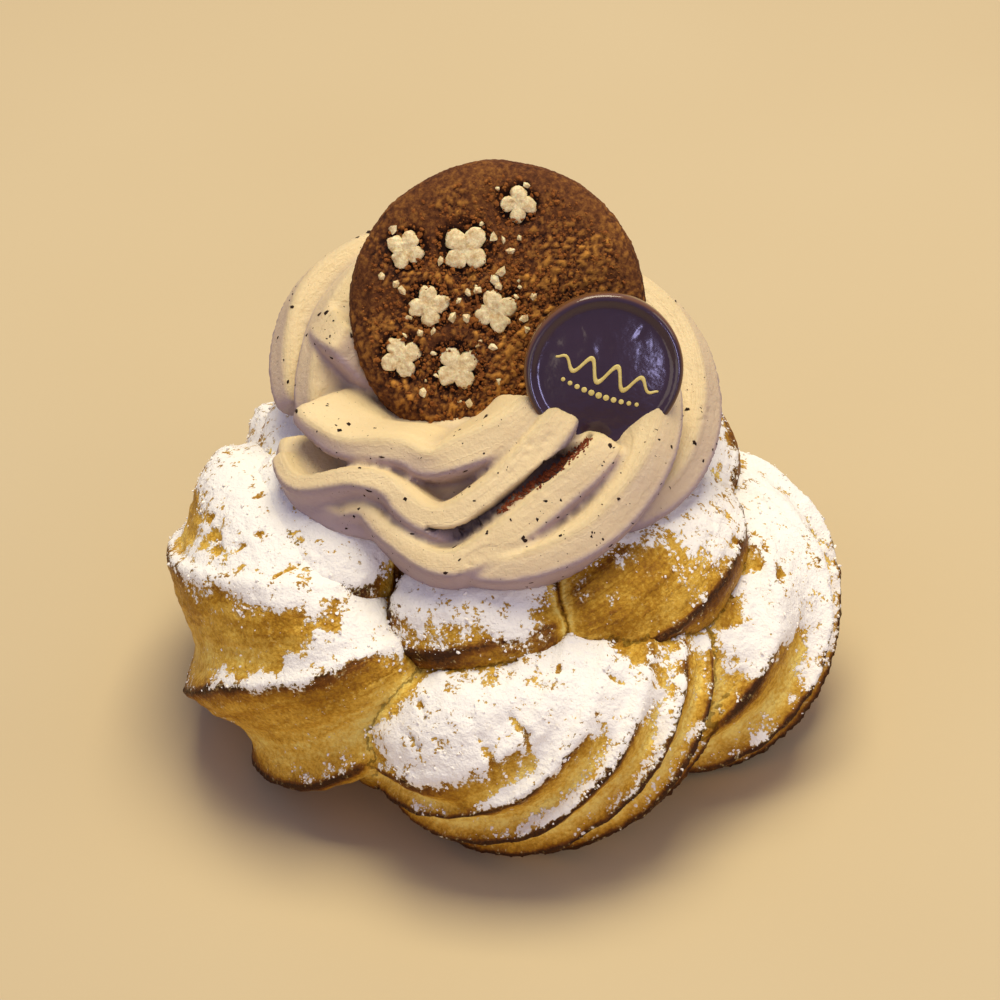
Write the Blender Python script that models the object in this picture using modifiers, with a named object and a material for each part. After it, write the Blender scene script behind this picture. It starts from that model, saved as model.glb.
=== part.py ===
"""A zeppola: piped choux baked in two tiers, a swirl of coffee cream, a cocoa biscuit and a chocolate disc.

The origin is on the table under the middle of the pastry's outline, +Z is up, and the front faces -Y.
Every piped form is a UV sphere whose rings are laid along a path. A path's points are
(azimuth in degrees, radius in mm, height in mm) round the pastry's upright axis.
"""

import math
import random

import bmesh
import bpy
from mathutils import Matrix, Vector, noise

MM = 0.001
SEED = 7
TOUCH_GAP = 0.5  # mm taken off a soft piece where it meets another one
LEAST_GAP = 0.3

# A lobe's run from under the next lobe to past its own head, as steps from the head's azimuth, radius
# and height.
LOBE_RUN = ((66, -8, 7), (38, -2, 3.5), (5, 0, 0), (-30, -1, -1))
FRONT_RUN = ((66, -8, 7), (38, -2, 3.5), (5, 0, 0), (-26, -2, 3))
LEFT_RUN = ((66, -5, 2), (38, 0.8, -1), (5, 0, 0), (-39, 1.5, 0))

# Lower tier: fat piped lobes, each with its head at the azimuth and its tail under the next lobe, as
# (head azimuth, ring radius, height, half width out, half height, flutes, flute depth, twist, phase,
# boxy, run).
LOWER_LOBES = (
    (268, 33.0, 15.5, 20.0, 18.0, 13, 0.16, 265, 16, 1.0, FRONT_RUN),
    (335, 33.6, 14.5, 18.8, 18.0, 8, 0.22, 240, 12, 1.0, LOBE_RUN),
    (53, 29.5, 14.5, 17.0, 17.0, 7, 0.22, 230, 30, 1.0, LOBE_RUN),
    (123, 32.0, 15.5, 18.0, 18.0, 7, 0.22, 230, 21, 1.0, LOBE_RUN),
    (194, 32.3, 20.0, 19.5, 22.0, 6, 0.20, 205, 64, 0.85, LEFT_RUN),
)
LOBE_TAPER = (0.58, 0.84, 1.0, 1.0)
LOBE_SIDES = 52  # most faces round a lobe
FLUTE_SIDES = 6  # most faces across a flute
TWIST_EASE = 0.75
FLUTE_SKEW = 0.68  # under 1 puts the hollow close behind the crest
FLUTE_ROUND = 1.25  # over 1 softens the crest
FLUTE_FADE = 0.8  # share of the depth lost on top

# Upper tier: smaller pillows, as
# (middle azimuth, half arc, ring radius, height, half width out, half height).
UPPER_PILLOWS = (
    (264, 26, 26.5, 30.0, 11.0, 10.5),
    (322, 38, 26.5, 30.5, 12.5, 12.0),
    (28, 36, 25.0, 30.0, 12.0, 12.0),
    (92, 36, 25.5, 30.5, 12.5, 12.0),
    (150, 34, 26.0, 31.0, 12.5, 12.0),
    (203, 33, 27.0, 31.5, 13.0, 12.0),
)
PILLOW_FLUTES = 5
PILLOW_FLUTE_DEPTH = 0.08

CHOUX_CORE_RADIUS = 33.0
CHOUX_CORE_TOP_RADIUS = 26.0
CHOUX_CORE_TOP = 40.0
FOOT_CUT = 1.0  # the core's foot, cut away level with the lobes
LUMP_SIZE = 14.0
LUMP_HEIGHT = 0.9

# Cream: straps left by a toothed nozzle. The points are on each strap's crest.
STRAP_DEPTH = 7.5
STRAP_CREST = 0.66  # half width of a strap's flat crest, as a share of the one in the table
STRAP_SLOPE = 0.4  # how far its sides spread for each mm below the crest
SLOPE_DEPTH = 6.0  # below this depth the sides are upright
BACK_LIFT = 36
STRAPS = {  # name: (crest points, half widths along the crest, how many degrees up it looks at both ends)
    "front_top": (
        ((184, 32.3, 53.0), (195, 29.4, 52.5), (207, 26.8, 52.5), (224, 22.6, 53.5),
         (241, 20.6, 53.6), (262, 17.6, 56.0), (298, 14.0, 60.0)),
        (1.9, 2.2, 2.5, 2.8, 3.2, 3.9, 4.2),
        (18, 42),
    ),
    "front_middle": (
        ((193, 34.4, 48.8), (207, 33.4, 47.8), (220, 28.6, 51.0), (232, 26.4, 50.8),
         (250, 27.2, 49.0), (267, 23.8, 52.0), (286, 19.4, 56.2), (310, 16.8, 60.4)),
        (1.9, 2.0, 2.3, 2.6, 3.0, 3.6, 4.0, 4.0),
        (48, 46),
    ),
    "front_low": (
        ((219, 31.6, 45.5), (226, 29.2, 47.3), (238, 29.5, 45.9), (256, 31.2, 45.0),
         (271, 28.2, 48.2), (290, 24.9, 52.5), (319, 23.7, 58.0)),
        (1.5, 1.9, 2.3, 2.8, 3.4, 3.9, 3.8),
        (46, 46),
    ),
    "front_base": (
        ((254, 30.2, 44.6), (272, 31.6, 45.2), (294, 30.6, 47.5), (311, 29.2, 51.0),
         (330, 27.8, 56.0), (354, 24.6, 61.0)),
        (2.6, 3.2, 3.7, 4.2, 4.2, 3.4),
        (36, 40),
    ),
    "right_rim": (
        ((314, 28.2, 45.0), (334, 29.8, 47.0), (354, 30.4, 50.6), (11, 30.2, 54.2),
         (28, 29.2, 57.5), (50, 26.5, 61.0)),
        (2.8, 3.8, 4.4, 4.6, 4.4, 3.4),
        (34, 38),
    ),
    "left_foot": (
        ((186, 33.0, 45.5), (200, 33.0, 44.6), (212, 31.6, 44.0), (226, 29.0, 43.6)),
        (2.4, 2.9, 2.9, 2.2),
        (14, 14),
    ),
    "left_rim": (
        ((168, 32.5, 48.0), (154, 34.8, 52.0), (141, 36.0, 56.0), (128, 34.4, 58.7),
         (112, 32.4, 60.5), (86, 27.0, 62.0)),
        (3.4, 4.4, 4.8, 4.8, 4.4, 3.2),
        (42, 40),
    ),
    "left_inner": (
        ((182, 28.5, 51.0), (166, 28.0, 55.5), (148, 28.0, 59.5), (128, 27.0, 62.5),
         (104, 24.0, 63.5)),
        (3.4, 4.2, 4.6, 4.6, 3.6),
        (46, 44),
    ),
}
BACK_STRAP_STARTS = (8, 42, 76, 110)
BACK_STRAP_WIDTHS = (3.4, 4.2, 4.4, 3.6)
CREAM_CORE = (25.0, 25.0, 12.0)  # half sizes
CREAM_CORE_CENTRE = (0.0, 2.0, 42.0)

# Cocoa biscuit, leaning back in the cream, and its icing blossoms as (face radius, face angle, size, turn).
BISCUIT_RADIUS = 21.2
BISCUIT_THICKNESS = 7.4
BISCUIT_CENTRE = (-0.4, 3.7, 63.8)
BISCUIT_LEAN = 35.0  # degrees its face looks above level
BISCUIT_TURN = -3.0
BLOSSOM_SIZE = 3.1
BLOSSOM_PETALS = 4
BLOSSOM_NOTCH = 0.42  # depth of the notch between petals, as a share of the size
BLOSSOM_HEIGHT = 1.2
BLOSSOM_SINK = 0.6
BLOSSOMS = (
    (0.0, 0, 1.0, 20),
    (9.8, 118, 1.1, 50),
    (9.6, 178, 0.95, 10),
    (9.9, 238, 1.05, 35),
    (15.4, 80, 0.85, 0),
    (15.6, 148, 0.9, 65),
    (15.2, 208, 0.95, 25),
)

DISC_RADIUS = 11.3
DISC_THICKNESS = 2.4
DISC_CENTRE = (14.6, -9.6, 63.4)
DISC_LEAN = 21.0
DISC_TURN = 5.0


def spline(values, s):
    """Catmull-Rom value at s, from 0 to 1, through evenly spaced values."""
    spans = len(values) - 1
    i = min(int(s * spans), spans - 1)
    t = s * spans - i
    a, b, c, d = (values[min(max(i + k, 0), spans)] for k in (-1, 0, 1, 2))
    linear = (c - a) * t
    square = (2 * a - 5 * b + 4 * c - d) * t**2
    cube = (3 * b - a - 3 * c + d) * t**3
    return 0.5 * (2 * b + linear + square + cube)


def unwrapped(azimuths):
    """The same directions with no jump over 180 degrees from one to the next."""
    turned = [azimuths[0]]
    for azimuth in azimuths[1:]:
        step = (azimuth - turned[-1] + 180) % 360 - 180
        turned.append(turned[-1] + step)
    return turned


def radial(azimuth, lift=0.0):
    """Unit vector away from the pastry's axis, raised by lift degrees."""
    a, b = math.radians(azimuth), math.radians(lift)
    return Vector((math.cos(a) * math.cos(b), math.sin(a) * math.cos(b), math.sin(b)))


def rounded(value, power):
    return math.copysign(abs(value) ** power, value)


def lumps(point, size, height):
    """Uneven swelling at a point, in mm."""
    return height * noise.noise(Vector(point) / size)


def flute_share(angle, flutes):
    """0 on a flute's sharp crest, 1 in its hollow, which lies close behind the crest."""
    step = (angle * flutes / (2 * math.pi)) % 1.0
    return math.sin(math.pi * step**FLUTE_SKEW) ** FLUTE_ROUND


def piped(name, path, out, up, around, along, lift=(0, 0), sunk=0.0, flutes=0, flute_depth=0.0, twist=0.0,
          boxy=1.0, blunt=0.5, crest=1.0, slope=0.0, lump=0.0, grow=0.0, phase=0.0):
    """A closed piped form. out and up are half sizes in mm along the path, and sunk moves it under the
    given crest. crest narrows its top to a flat strip, and slope spreads its sides below that. Its lengthwise
    edges turn with the flutes, so each crest is one line of the mesh."""
    azimuths = unwrapped([p[0] for p in path])
    radii = [p[1] for p in path]
    heights = [p[2] for p in path]

    def place(s):
        azimuth = spline(azimuths, s)
        foot = radial(azimuth) * spline(radii, s) + Vector((0, 0, spline(heights, s)))
        outward = radial(azimuth, spline(lift, s))
        return foot - outward * sunk, outward

    mesh = bmesh.new()
    bmesh.ops.create_uvsphere(mesh, u_segments=around, v_segments=along, radius=1.0)
    for vertex in mesh.verts:
        turn = math.acos(max(-1.0, min(1.0, vertex.co.z)))
        s = 0.5 - 0.5 * math.cos(turn)
        own_angle = math.atan2(vertex.co.y, vertex.co.x)
        angle = own_angle + math.radians(phase - twist * s**TWIST_EASE)
        centre, outward = place(s)
        ahead = (place(min(1.0, s + 0.01))[0] - place(max(0.0, s - 0.01))[0]).normalized()
        outward = (outward - ahead * outward.dot(ahead)).normalized()
        across = ahead.cross(outward)
        swell = math.sin(turn) ** blunt
        topside = max(0.0, math.sin(angle))
        flute = 1 - flute_depth * (1 - FLUTE_FADE * topside) * flute_share(own_angle, flutes) if flutes else 1
        reach = spline(out, s) * rounded(math.cos(angle), boxy)
        width = crest * spline(up, s) + slope * min(spline(out, s) - reach, SLOPE_DEPTH)
        side = outward * reach + across * (width * rounded(math.sin(angle), boxy))
        side *= swell * flute
        point = centre + side
        puff = lumps(point, LUMP_SIZE, lump) + grow
        if side.length > 1e-6:
            point += side.normalized() * puff * swell
        vertex.co = point * MM
    bmesh.ops.recalc_face_normals(mesh, faces=mesh.faces)
    return new_object(name, mesh)


def new_object(name, mesh):
    data = bpy.data.meshes.new(name)
    mesh.to_mesh(data)
    mesh.free()
    obj = bpy.data.objects.new(name, data)
    bpy.context.scene.collection.objects.link(obj)
    return obj


def cylinder(name, low_radius, high_radius, bottom, top, sides=40):
    mesh = bmesh.new()
    bmesh.ops.create_cone(
        mesh,
        cap_ends=True,
        segments=sides,
        radius1=low_radius * MM,
        radius2=high_radius * MM,
        depth=(top - bottom) * MM,
        matrix=Matrix.Translation((0, 0, (bottom + top) / 2 * MM)),
    )
    return new_object(name, mesh)


def ellipsoid(name, half_sizes, centre, around, along, grow=0.0):
    mesh = bmesh.new()
    bmesh.ops.create_uvsphere(mesh, u_segments=around, v_segments=along, radius=1.0)
    for vertex in mesh.verts:
        vertex.co = Vector(((h + grow) * c + m) * MM for h, c, m in zip(half_sizes, vertex.co, centre))
    return new_object(name, mesh)


def turned(name, profile, steps):
    """A profile of (radius, height) in mm, top to bottom down its outer side, turned about Z."""
    mesh = bmesh.new()
    points = [mesh.verts.new((r * MM, 0, h * MM)) for r, h in profile]
    for upper, lower in zip(points, points[1:]):
        mesh.edges.new((upper, lower))
    obj = new_object(name, mesh)
    screw = obj.modifiers.new("turn", "SCREW")
    screw.steps = screw.render_steps = steps
    screw.use_merge_vertices = True
    screw.merge_threshold = 0.00001
    return applied(obj)


def applied(obj):
    """The object with its modifiers applied."""
    graph = bpy.context.evaluated_depsgraph_get()
    data = bpy.data.meshes.new_from_object(obj.evaluated_get(graph))
    obj.modifiers.clear()
    obj.data = data
    return obj


def joined(base, others, operation="UNION"):
    """base with the others fused to it or cut from it, as one closed surface. The others are used up."""
    tools = bpy.data.collections.new("tools_" + base.name)
    bpy.context.scene.collection.children.link(tools)
    for other in others:
        tools.objects.link(other)
    cut = base.modifiers.new("join", "BOOLEAN")
    cut.operation = operation
    cut.solver = "EXACT"
    cut.operand_type = "COLLECTION"
    cut.collection = tools
    applied(base)
    for other in others:
        bpy.data.objects.remove(other)
    bpy.data.collections.remove(tools)
    return base


def kept_whole(obj):
    """The object with only its largest body: sealed hollows are filled and loose scraps dropped."""
    mesh = bmesh.new()
    mesh.from_mesh(obj.data)
    bodies, seen = [], set()
    for start in mesh.verts:
        if start in seen:
            continue
        body, waiting = [], [start]
        seen.add(start)
        while waiting:
            vertex = waiting.pop()
            body.append(vertex)
            for edge in vertex.link_edges:
                other = edge.other_vert(vertex)
                if other not in seen:
                    seen.add(other)
                    waiting.append(other)
        bodies.append(body)
    bodies.sort(key=len)
    for scrap in bodies[:-1]:
        bmesh.ops.delete(mesh, geom=scrap, context="VERTS")
    mesh.to_mesh(obj.data)
    mesh.free()
    return obj


def lower_lobe(index, grow):
    head, ring, height, out, up, flutes, depth, twist, phase, boxy, run = LOWER_LOBES[index]
    path = [(head + swing, ring + wider, height + higher) for swing, wider, higher in run]
    return piped(
        f"lobe_{index}",
        path,
        [out * share for share in LOBE_TAPER],
        [up * share for share in LOBE_TAPER],
        around=flutes * min(FLUTE_SIDES, LOBE_SIDES // flutes),
        along=22,
        flutes=flutes,
        flute_depth=depth,
        twist=twist,
        boxy=boxy,
        blunt=0.75,
        lump=LUMP_HEIGHT,
        grow=grow,
        phase=phase,
    )


def upper_pillow(index, grow):
    azimuth, half_arc, ring, height, out, up = UPPER_PILLOWS[index]
    path = [(azimuth + half_arc * k, ring, height - abs(k)) for k in (1, 0, -1)]
    return piped(
        f"pillow_{index}",
        path,
        (out, out, out),
        (up, up, up),
        around=28,
        along=14,
        flutes=PILLOW_FLUTES,
        flute_depth=PILLOW_FLUTE_DEPTH,
        twist=60,
        blunt=0.7,
        lump=LUMP_HEIGHT,
        grow=grow,
        phase=random.uniform(-30, 30),
    )


def choux(name, grow=0.0):
    """Both tiers fused into one baked piece with a flat foot."""
    random.seed(SEED)
    pieces = [lower_lobe(i, grow) for i in range(len(LOWER_LOBES))]
    pieces += [upper_pillow(i, grow) for i in range(len(UPPER_PILLOWS))]
    core = cylinder(name, CHOUX_CORE_RADIUS, CHOUX_CORE_TOP_RADIUS, -FOOT_CUT, CHOUX_CORE_TOP + grow)
    joined(core, pieces)
    joined(core, [cylinder("under", 2 * CHOUX_CORE_RADIUS, 2 * CHOUX_CORE_RADIUS, -40, 0)], "DIFFERENCE")
    return kept_whole(core)


def crest_strap(name, crest, widths, lift):
    return piped(
        name,
        crest,
        [STRAP_DEPTH] * len(crest),
        widths,
        around=12,
        along=22,
        lift=lift,
        sunk=STRAP_DEPTH,
        boxy=0.4,
        blunt=0.3,
        crest=STRAP_CREST,
        slope=STRAP_SLOPE,
    )


def back_strap(name, start):
    crest = ((start, 31.5, 44), (start + 20, 32.0, 50), (start + 42, 29.5, 56), (start + 66, 24.5, 61))
    return crest_strap(name, crest, BACK_STRAP_WIDTHS, (BACK_LIFT, BACK_LIFT))


def cream(name):
    straps = [crest_strap("strap_" + key, *STRAPS[key]) for key in STRAPS]
    straps += [back_strap(f"strap_back_{start}", start) for start in BACK_STRAP_STARTS]
    swirl = ellipsoid(name, CREAM_CORE, CREAM_CORE_CENTRE, 32, 16)
    joined(swirl, straps)
    cutters = [choux("choux_room", TOUCH_GAP)]
    cutters.append(placed(biscuit_round("biscuit_room", LEAST_GAP), *BISCUIT_POSE))
    cutters.append(placed(disc_round("disc_room", LEAST_GAP), *DISC_POSE))
    joined(swirl, cutters, "DIFFERENCE")
    return kept_whole(swirl)


BISCUIT_POSE = (BISCUIT_CENTRE, BISCUIT_LEAN, BISCUIT_TURN)
DISC_POSE = (DISC_CENTRE, DISC_LEAN, DISC_TURN)


def placed(obj, centre, lean, turn):
    """Stands a turned piece up with its top facing the front, raised by lean and swung by turn degrees."""
    tip = Matrix.Rotation(math.radians(90 - lean), 4, "X")
    swing = Matrix.Rotation(math.radians(turn), 4, "Z")
    obj.data.transform(Matrix.Translation(Vector(centre) * MM) @ swing @ tip)
    return obj


def biscuit_round(name, grow=0.0):
    """The biscuit lying flat: a flat back, a rounded shoulder and a slightly domed face."""
    half = BISCUIT_THICKNESS / 2 + grow
    radius = BISCUIT_RADIUS + grow
    profile = [(0, half)]
    profile += [(radius * k, half - 1.0 * k**2) for k in (0.3, 0.55, 0.75)]
    profile += [(radius * 0.88, half - 1.3), (radius * 0.95, half - 2.2), (radius, half - 4.2)]
    profile += [(radius * 0.985, -half + 1.0), (radius * 0.95, -half), (0, -half)]
    return turned(name, profile, 48)


def blossom(index):
    """One icing blossom, sunk in the biscuit's face."""
    reach, angle, scale, turn = BLOSSOMS[index]
    size = BLOSSOM_SIZE * scale
    outline = bpy.data.curves.new(f"blossom_{index}", "CURVE")
    outline.dimensions = "2D"
    outline.fill_mode = "BOTH"
    outline.extrude = BLOSSOM_HEIGHT / 2 * MM
    loop = outline.splines.new("POLY")
    loop.use_cyclic_u = True
    steps = BLOSSOM_PETALS * 6
    loop.points.add(steps - 1)
    for k, point in enumerate(loop.points):
        a = 2 * math.pi * k / steps
        petal = abs(math.cos(BLOSSOM_PETALS * a / 2)) ** 0.7
        r = size * (1 - BLOSSOM_NOTCH + BLOSSOM_NOTCH * petal) * MM
        point.co = (r * math.cos(a), r * math.sin(a), 0, 1)
    guide = bpy.data.objects.new("blossom_guide", outline)
    bpy.context.scene.collection.objects.link(guide)
    bpy.context.view_layer.update()
    data = bpy.data.meshes.new_from_object(guide.evaluated_get(bpy.context.evaluated_depsgraph_get()))
    bpy.data.objects.remove(guide)
    mesh = bmesh.new()
    mesh.from_mesh(data)
    bmesh.ops.remove_doubles(mesh, verts=mesh.verts, dist=0.00001)
    bmesh.ops.recalc_face_normals(mesh, faces=mesh.faces)
    share = reach / BISCUIT_RADIUS
    face = BISCUIT_THICKNESS / 2 - share**2
    rise = face - BLOSSOM_SINK + BLOSSOM_HEIGHT / 2
    a = math.radians(angle)
    spot = Vector((reach * math.cos(a), reach * math.sin(a), rise)) * MM
    mesh.transform(Matrix.Translation(spot) @ Matrix.Rotation(math.radians(turn), 4, "Z"))
    return new_object(f"blossom_{index}", mesh)


def biscuit(name):
    iced = joined(biscuit_round(name), [blossom(i) for i in range(len(BLOSSOMS))])
    return placed(kept_whole(iced), *BISCUIT_POSE)


def disc_round(name, grow=0.0):
    """The chocolate disc lying flat: a soft-edged slab with a shallow dished rim."""
    half = DISC_THICKNESS / 2 + grow
    radius = DISC_RADIUS + grow
    profile = [(0, half - 0.15), (radius * 0.5, half - 0.25), (radius * 0.82, half - 0.35)]
    profile += [(radius * 0.9, half), (radius * 0.96, half - 0.2), (radius, half - 0.8)]
    profile += [(radius, -half + 0.5), (radius * 0.96, -half), (0, -half)]
    return turned(name, profile, 40)


def disc(name):
    return placed(disc_round(name), *DISC_POSE)


def finish(name, colour, roughness):
    material = bpy.data.materials.new(name)
    material.use_nodes = True
    shader = material.node_tree.nodes["Principled BSDF"]
    shader.inputs["Base Color"].default_value = (*colour, 1.0)
    shader.inputs["Roughness"].default_value = roughness
    shader.inputs["Metallic"].default_value = 0.0
    return material


FINISHES = {
    "choux": ((0.62, 0.36, 0.10), 0.6),
    "cream": ((0.72, 0.52, 0.33), 0.55),
    "biscuit": ((0.15, 0.06, 0.03), 0.8),
    "chocolate_disc": ((0.03, 0.015, 0.03), 0.15),
}


def centred(objects):
    """Moves everything so that the origin is under the middle of the whole outline, on the table."""
    corners = [v.co for obj in objects for v in obj.data.vertices]
    low = Vector(min(c[i] for c in corners) for i in range(3))
    high = Vector(max(c[i] for c in corners) for i in range(3))
    shift = Vector((-(low.x + high.x) / 2, -(low.y + high.y) / 2, -low.z))
    for obj in objects:
        obj.data.transform(Matrix.Translation(shift))
    print("moved by", [round(value / MM, 3) for value in shift], "mm")


def main():
    for obj in list(bpy.data.objects):
        bpy.data.objects.remove(obj)
    pieces = {
        "choux": choux("choux"),
        "cream": cream("cream"),
        "biscuit": biscuit("biscuit"),
        "chocolate_disc": disc("chocolate_disc"),
    }
    centred(list(pieces.values()))
    zeppola = bpy.data.collections.new("zeppola")
    bpy.context.scene.collection.children.link(zeppola)
    for name, obj in pieces.items():
        obj.data.materials.clear()
        obj.data.materials.append(finish(name, *FINISHES[name]))
        bpy.context.scene.collection.objects.unlink(obj)
        zeppola.objects.link(obj)
        print(name, len(obj.data.polygons), "faces")


main()
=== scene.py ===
import math
import random

import bpy
import numpy as np
from mathutils import Matrix, Vector, noise
from mathutils.bvhtree import BVHTree
from mathutils.kdtree import KDTree


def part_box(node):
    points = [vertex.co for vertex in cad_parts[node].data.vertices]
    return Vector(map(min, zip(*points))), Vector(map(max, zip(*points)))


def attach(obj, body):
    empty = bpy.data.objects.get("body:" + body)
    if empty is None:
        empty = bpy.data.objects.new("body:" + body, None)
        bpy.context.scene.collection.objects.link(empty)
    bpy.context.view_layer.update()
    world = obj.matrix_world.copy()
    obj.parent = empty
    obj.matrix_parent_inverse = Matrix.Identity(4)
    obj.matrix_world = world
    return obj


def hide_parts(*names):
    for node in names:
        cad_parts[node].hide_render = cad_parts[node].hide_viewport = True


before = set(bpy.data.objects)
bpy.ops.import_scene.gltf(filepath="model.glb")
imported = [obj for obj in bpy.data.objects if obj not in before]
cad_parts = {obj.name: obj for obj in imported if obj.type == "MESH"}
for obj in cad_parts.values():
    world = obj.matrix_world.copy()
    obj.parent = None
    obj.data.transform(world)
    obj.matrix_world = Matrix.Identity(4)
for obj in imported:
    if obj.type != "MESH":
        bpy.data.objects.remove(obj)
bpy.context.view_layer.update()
mm = 0.001


# ---- small tools for meshes

def makeActive(piece):
    bpy.ops.object.select_all(action="DESELECT")
    piece.select_set(True)
    bpy.context.view_layer.objects.active = piece


def applyModifier(piece, kind, **settings):
    makeActive(piece)
    modifier = piece.modifiers.new(kind.title(), kind)
    for name, value in settings.items():
        setattr(modifier, name, value)
    bpy.ops.object.modifier_apply(modifier=modifier.name)


def joinPieces(name, pieces):
    makeActive(pieces[0])
    for piece in pieces:
        piece.select_set(True)
    bpy.ops.object.join()
    pieces[0].name = pieces[0].data.name = name
    return pieces[0]


def readPoints(piece):
    points = np.empty(len(piece.data.vertices) * 3)
    piece.data.vertices.foreach_get("co", points)
    return points.reshape(-1, 3) / mm


def writePoints(piece, points):
    piece.data.vertices.foreach_set("co", (points * mm).ravel())
    piece.data.update()


def readNormals(piece):
    normals = np.empty(len(piece.data.vertices) * 3)
    piece.data.vertex_normals.foreach_get("vector", normals)
    return normals.reshape(-1, 3)


def storeValues(piece, name, values):
    attribute = piece.data.attributes.new(name, "FLOAT", "POINT")
    attribute.data.foreach_set("value", np.ascontiguousarray(values, dtype=np.float32))


def noiseAt(points, size, shift=0.0):
    # even noise from about -1 to 1; size is its grain in mm, one number or one for each axis
    return np.array([noise.noise(p) for p in (points / size + shift).tolist()])


def smoothStep(low, high, values):
    t = np.clip((values - low) / (high - low), 0, 1)
    return t * t * (3 - 2 * t)


def unit(vectors):
    return vectors / np.maximum(np.linalg.norm(vectors, axis=-1, keepdims=True), 1e-9)


def evened(piece, values, rounds):
    # values averaged over neighbouring points, again and again
    edges = np.empty(len(piece.data.edges) * 2, dtype=np.int32)
    piece.data.edges.foreach_get("vertices", edges)
    a, b = edges.reshape(-1, 2).T
    count = len(values)
    ties = np.bincount(a, minlength=count) + np.bincount(b, minlength=count)
    columns = values.reshape(count, -1).copy()
    for _ in range(rounds):
        for k in range(columns.shape[1]):
            column = columns[:, k]
            around = np.bincount(a, column[b], count) + np.bincount(b, column[a], count)
            columns[:, k] = 0.5 * column + 0.5 * around / ties
    return columns.reshape(values.shape)


def centred(values):
    # moved and scaled so that four fifths of them lie between -0.5 and 0.5
    low, high = np.percentile(values, (10, 90))
    return (values - (low + high) / 2) / (high - low)


def treeOf(piece):
    return BVHTree.FromObject(piece, bpy.context.evaluated_depsgraph_get())


# ---- small tools for materials

def linearColour(hexCode):
    channels = [int(hexCode[i:i + 2], 16) / 255 for i in (1, 3, 5)]
    return [c / 12.92 if c <= 0.04045 else ((c + 0.055) / 1.055) ** 2.4 for c in channels] + [1.0]


def addNode(tree, kind, inputs=None, **settings):
    node = tree.nodes.new("ShaderNode" + kind)
    for name, value in settings.items():
        setattr(node, name, value)
    for name, value in (inputs or {}).items():
        if isinstance(value, bpy.types.NodeSocket):
            tree.links.new(value, node.inputs[name])
        elif isinstance(value, str):
            node.inputs[name].default_value = linearColour(value)
        else:
            node.inputs[name].default_value = value
    return node


def newMaterial(name):
    material = bpy.data.materials.new(name)
    material.use_nodes = True
    tree = material.node_tree
    tree.nodes.clear()
    output = addNode(tree, "OutputMaterial")
    shader = addNode(tree, "BsdfPrincipled")
    tree.links.new(shader.outputs[0], output.inputs[0])
    place = addNode(tree, "TexCoord").outputs["Object"]
    return material, tree, shader, place


def perMetre(size):
    # a noise scale for a grain of that many mm
    return 1 / (size * mm)


# ---- piped forms: a ball whose rings are laid along a path of (azimuth, radius, height)

def splineAt(values, s):
    values = np.asarray(values, dtype=float)
    spans = len(values) - 1
    i = np.minimum((s * spans).astype(int), spans - 1)
    t = s * spans - i
    a, b, c, d = (values[np.clip(i + k, 0, spans)] for k in (-1, 0, 1, 2))
    cubic = (2 * a - 5 * b + 4 * c - d) * t**2 + (3 * b - a - 3 * c + d) * t**3
    return 0.5 * (2 * b + (c - a) * t + cubic)


def radial(azimuth, lift=0.0):
    a, b = np.broadcast_arrays(np.radians(azimuth), np.radians(lift))
    return np.stack([np.cos(a) * np.cos(b), np.sin(a) * np.cos(b), np.sin(b)], axis=-1)


def rounded(values, power):
    return np.copysign(np.abs(values) ** power, values)


piping = {
    "twistEase": 0.75,  # below 1 the flutes turn faster at the start of a form
    "fluteSkew": 0.64,  # below 1 the hollow lies close behind a flute's crest
    "fluteRound": 1.15,  # how narrow the hollow is
    "fluteFade": 0.8,  # how far the flutes fade on the form's top side
    "lumpSize": 14.0,
    "slopeDepth": 6.0,  # down to this depth below its crest a form's sides go on spreading
}


def fluteShare(angle, flutes):
    # 0 on a flute's crest, 1 in the hollow close behind it
    step = np.mod(angle * flutes / (2 * np.pi), 1.0)
    return np.sin(np.pi * step ** piping["fluteSkew"]) ** piping["fluteRound"]


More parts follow.
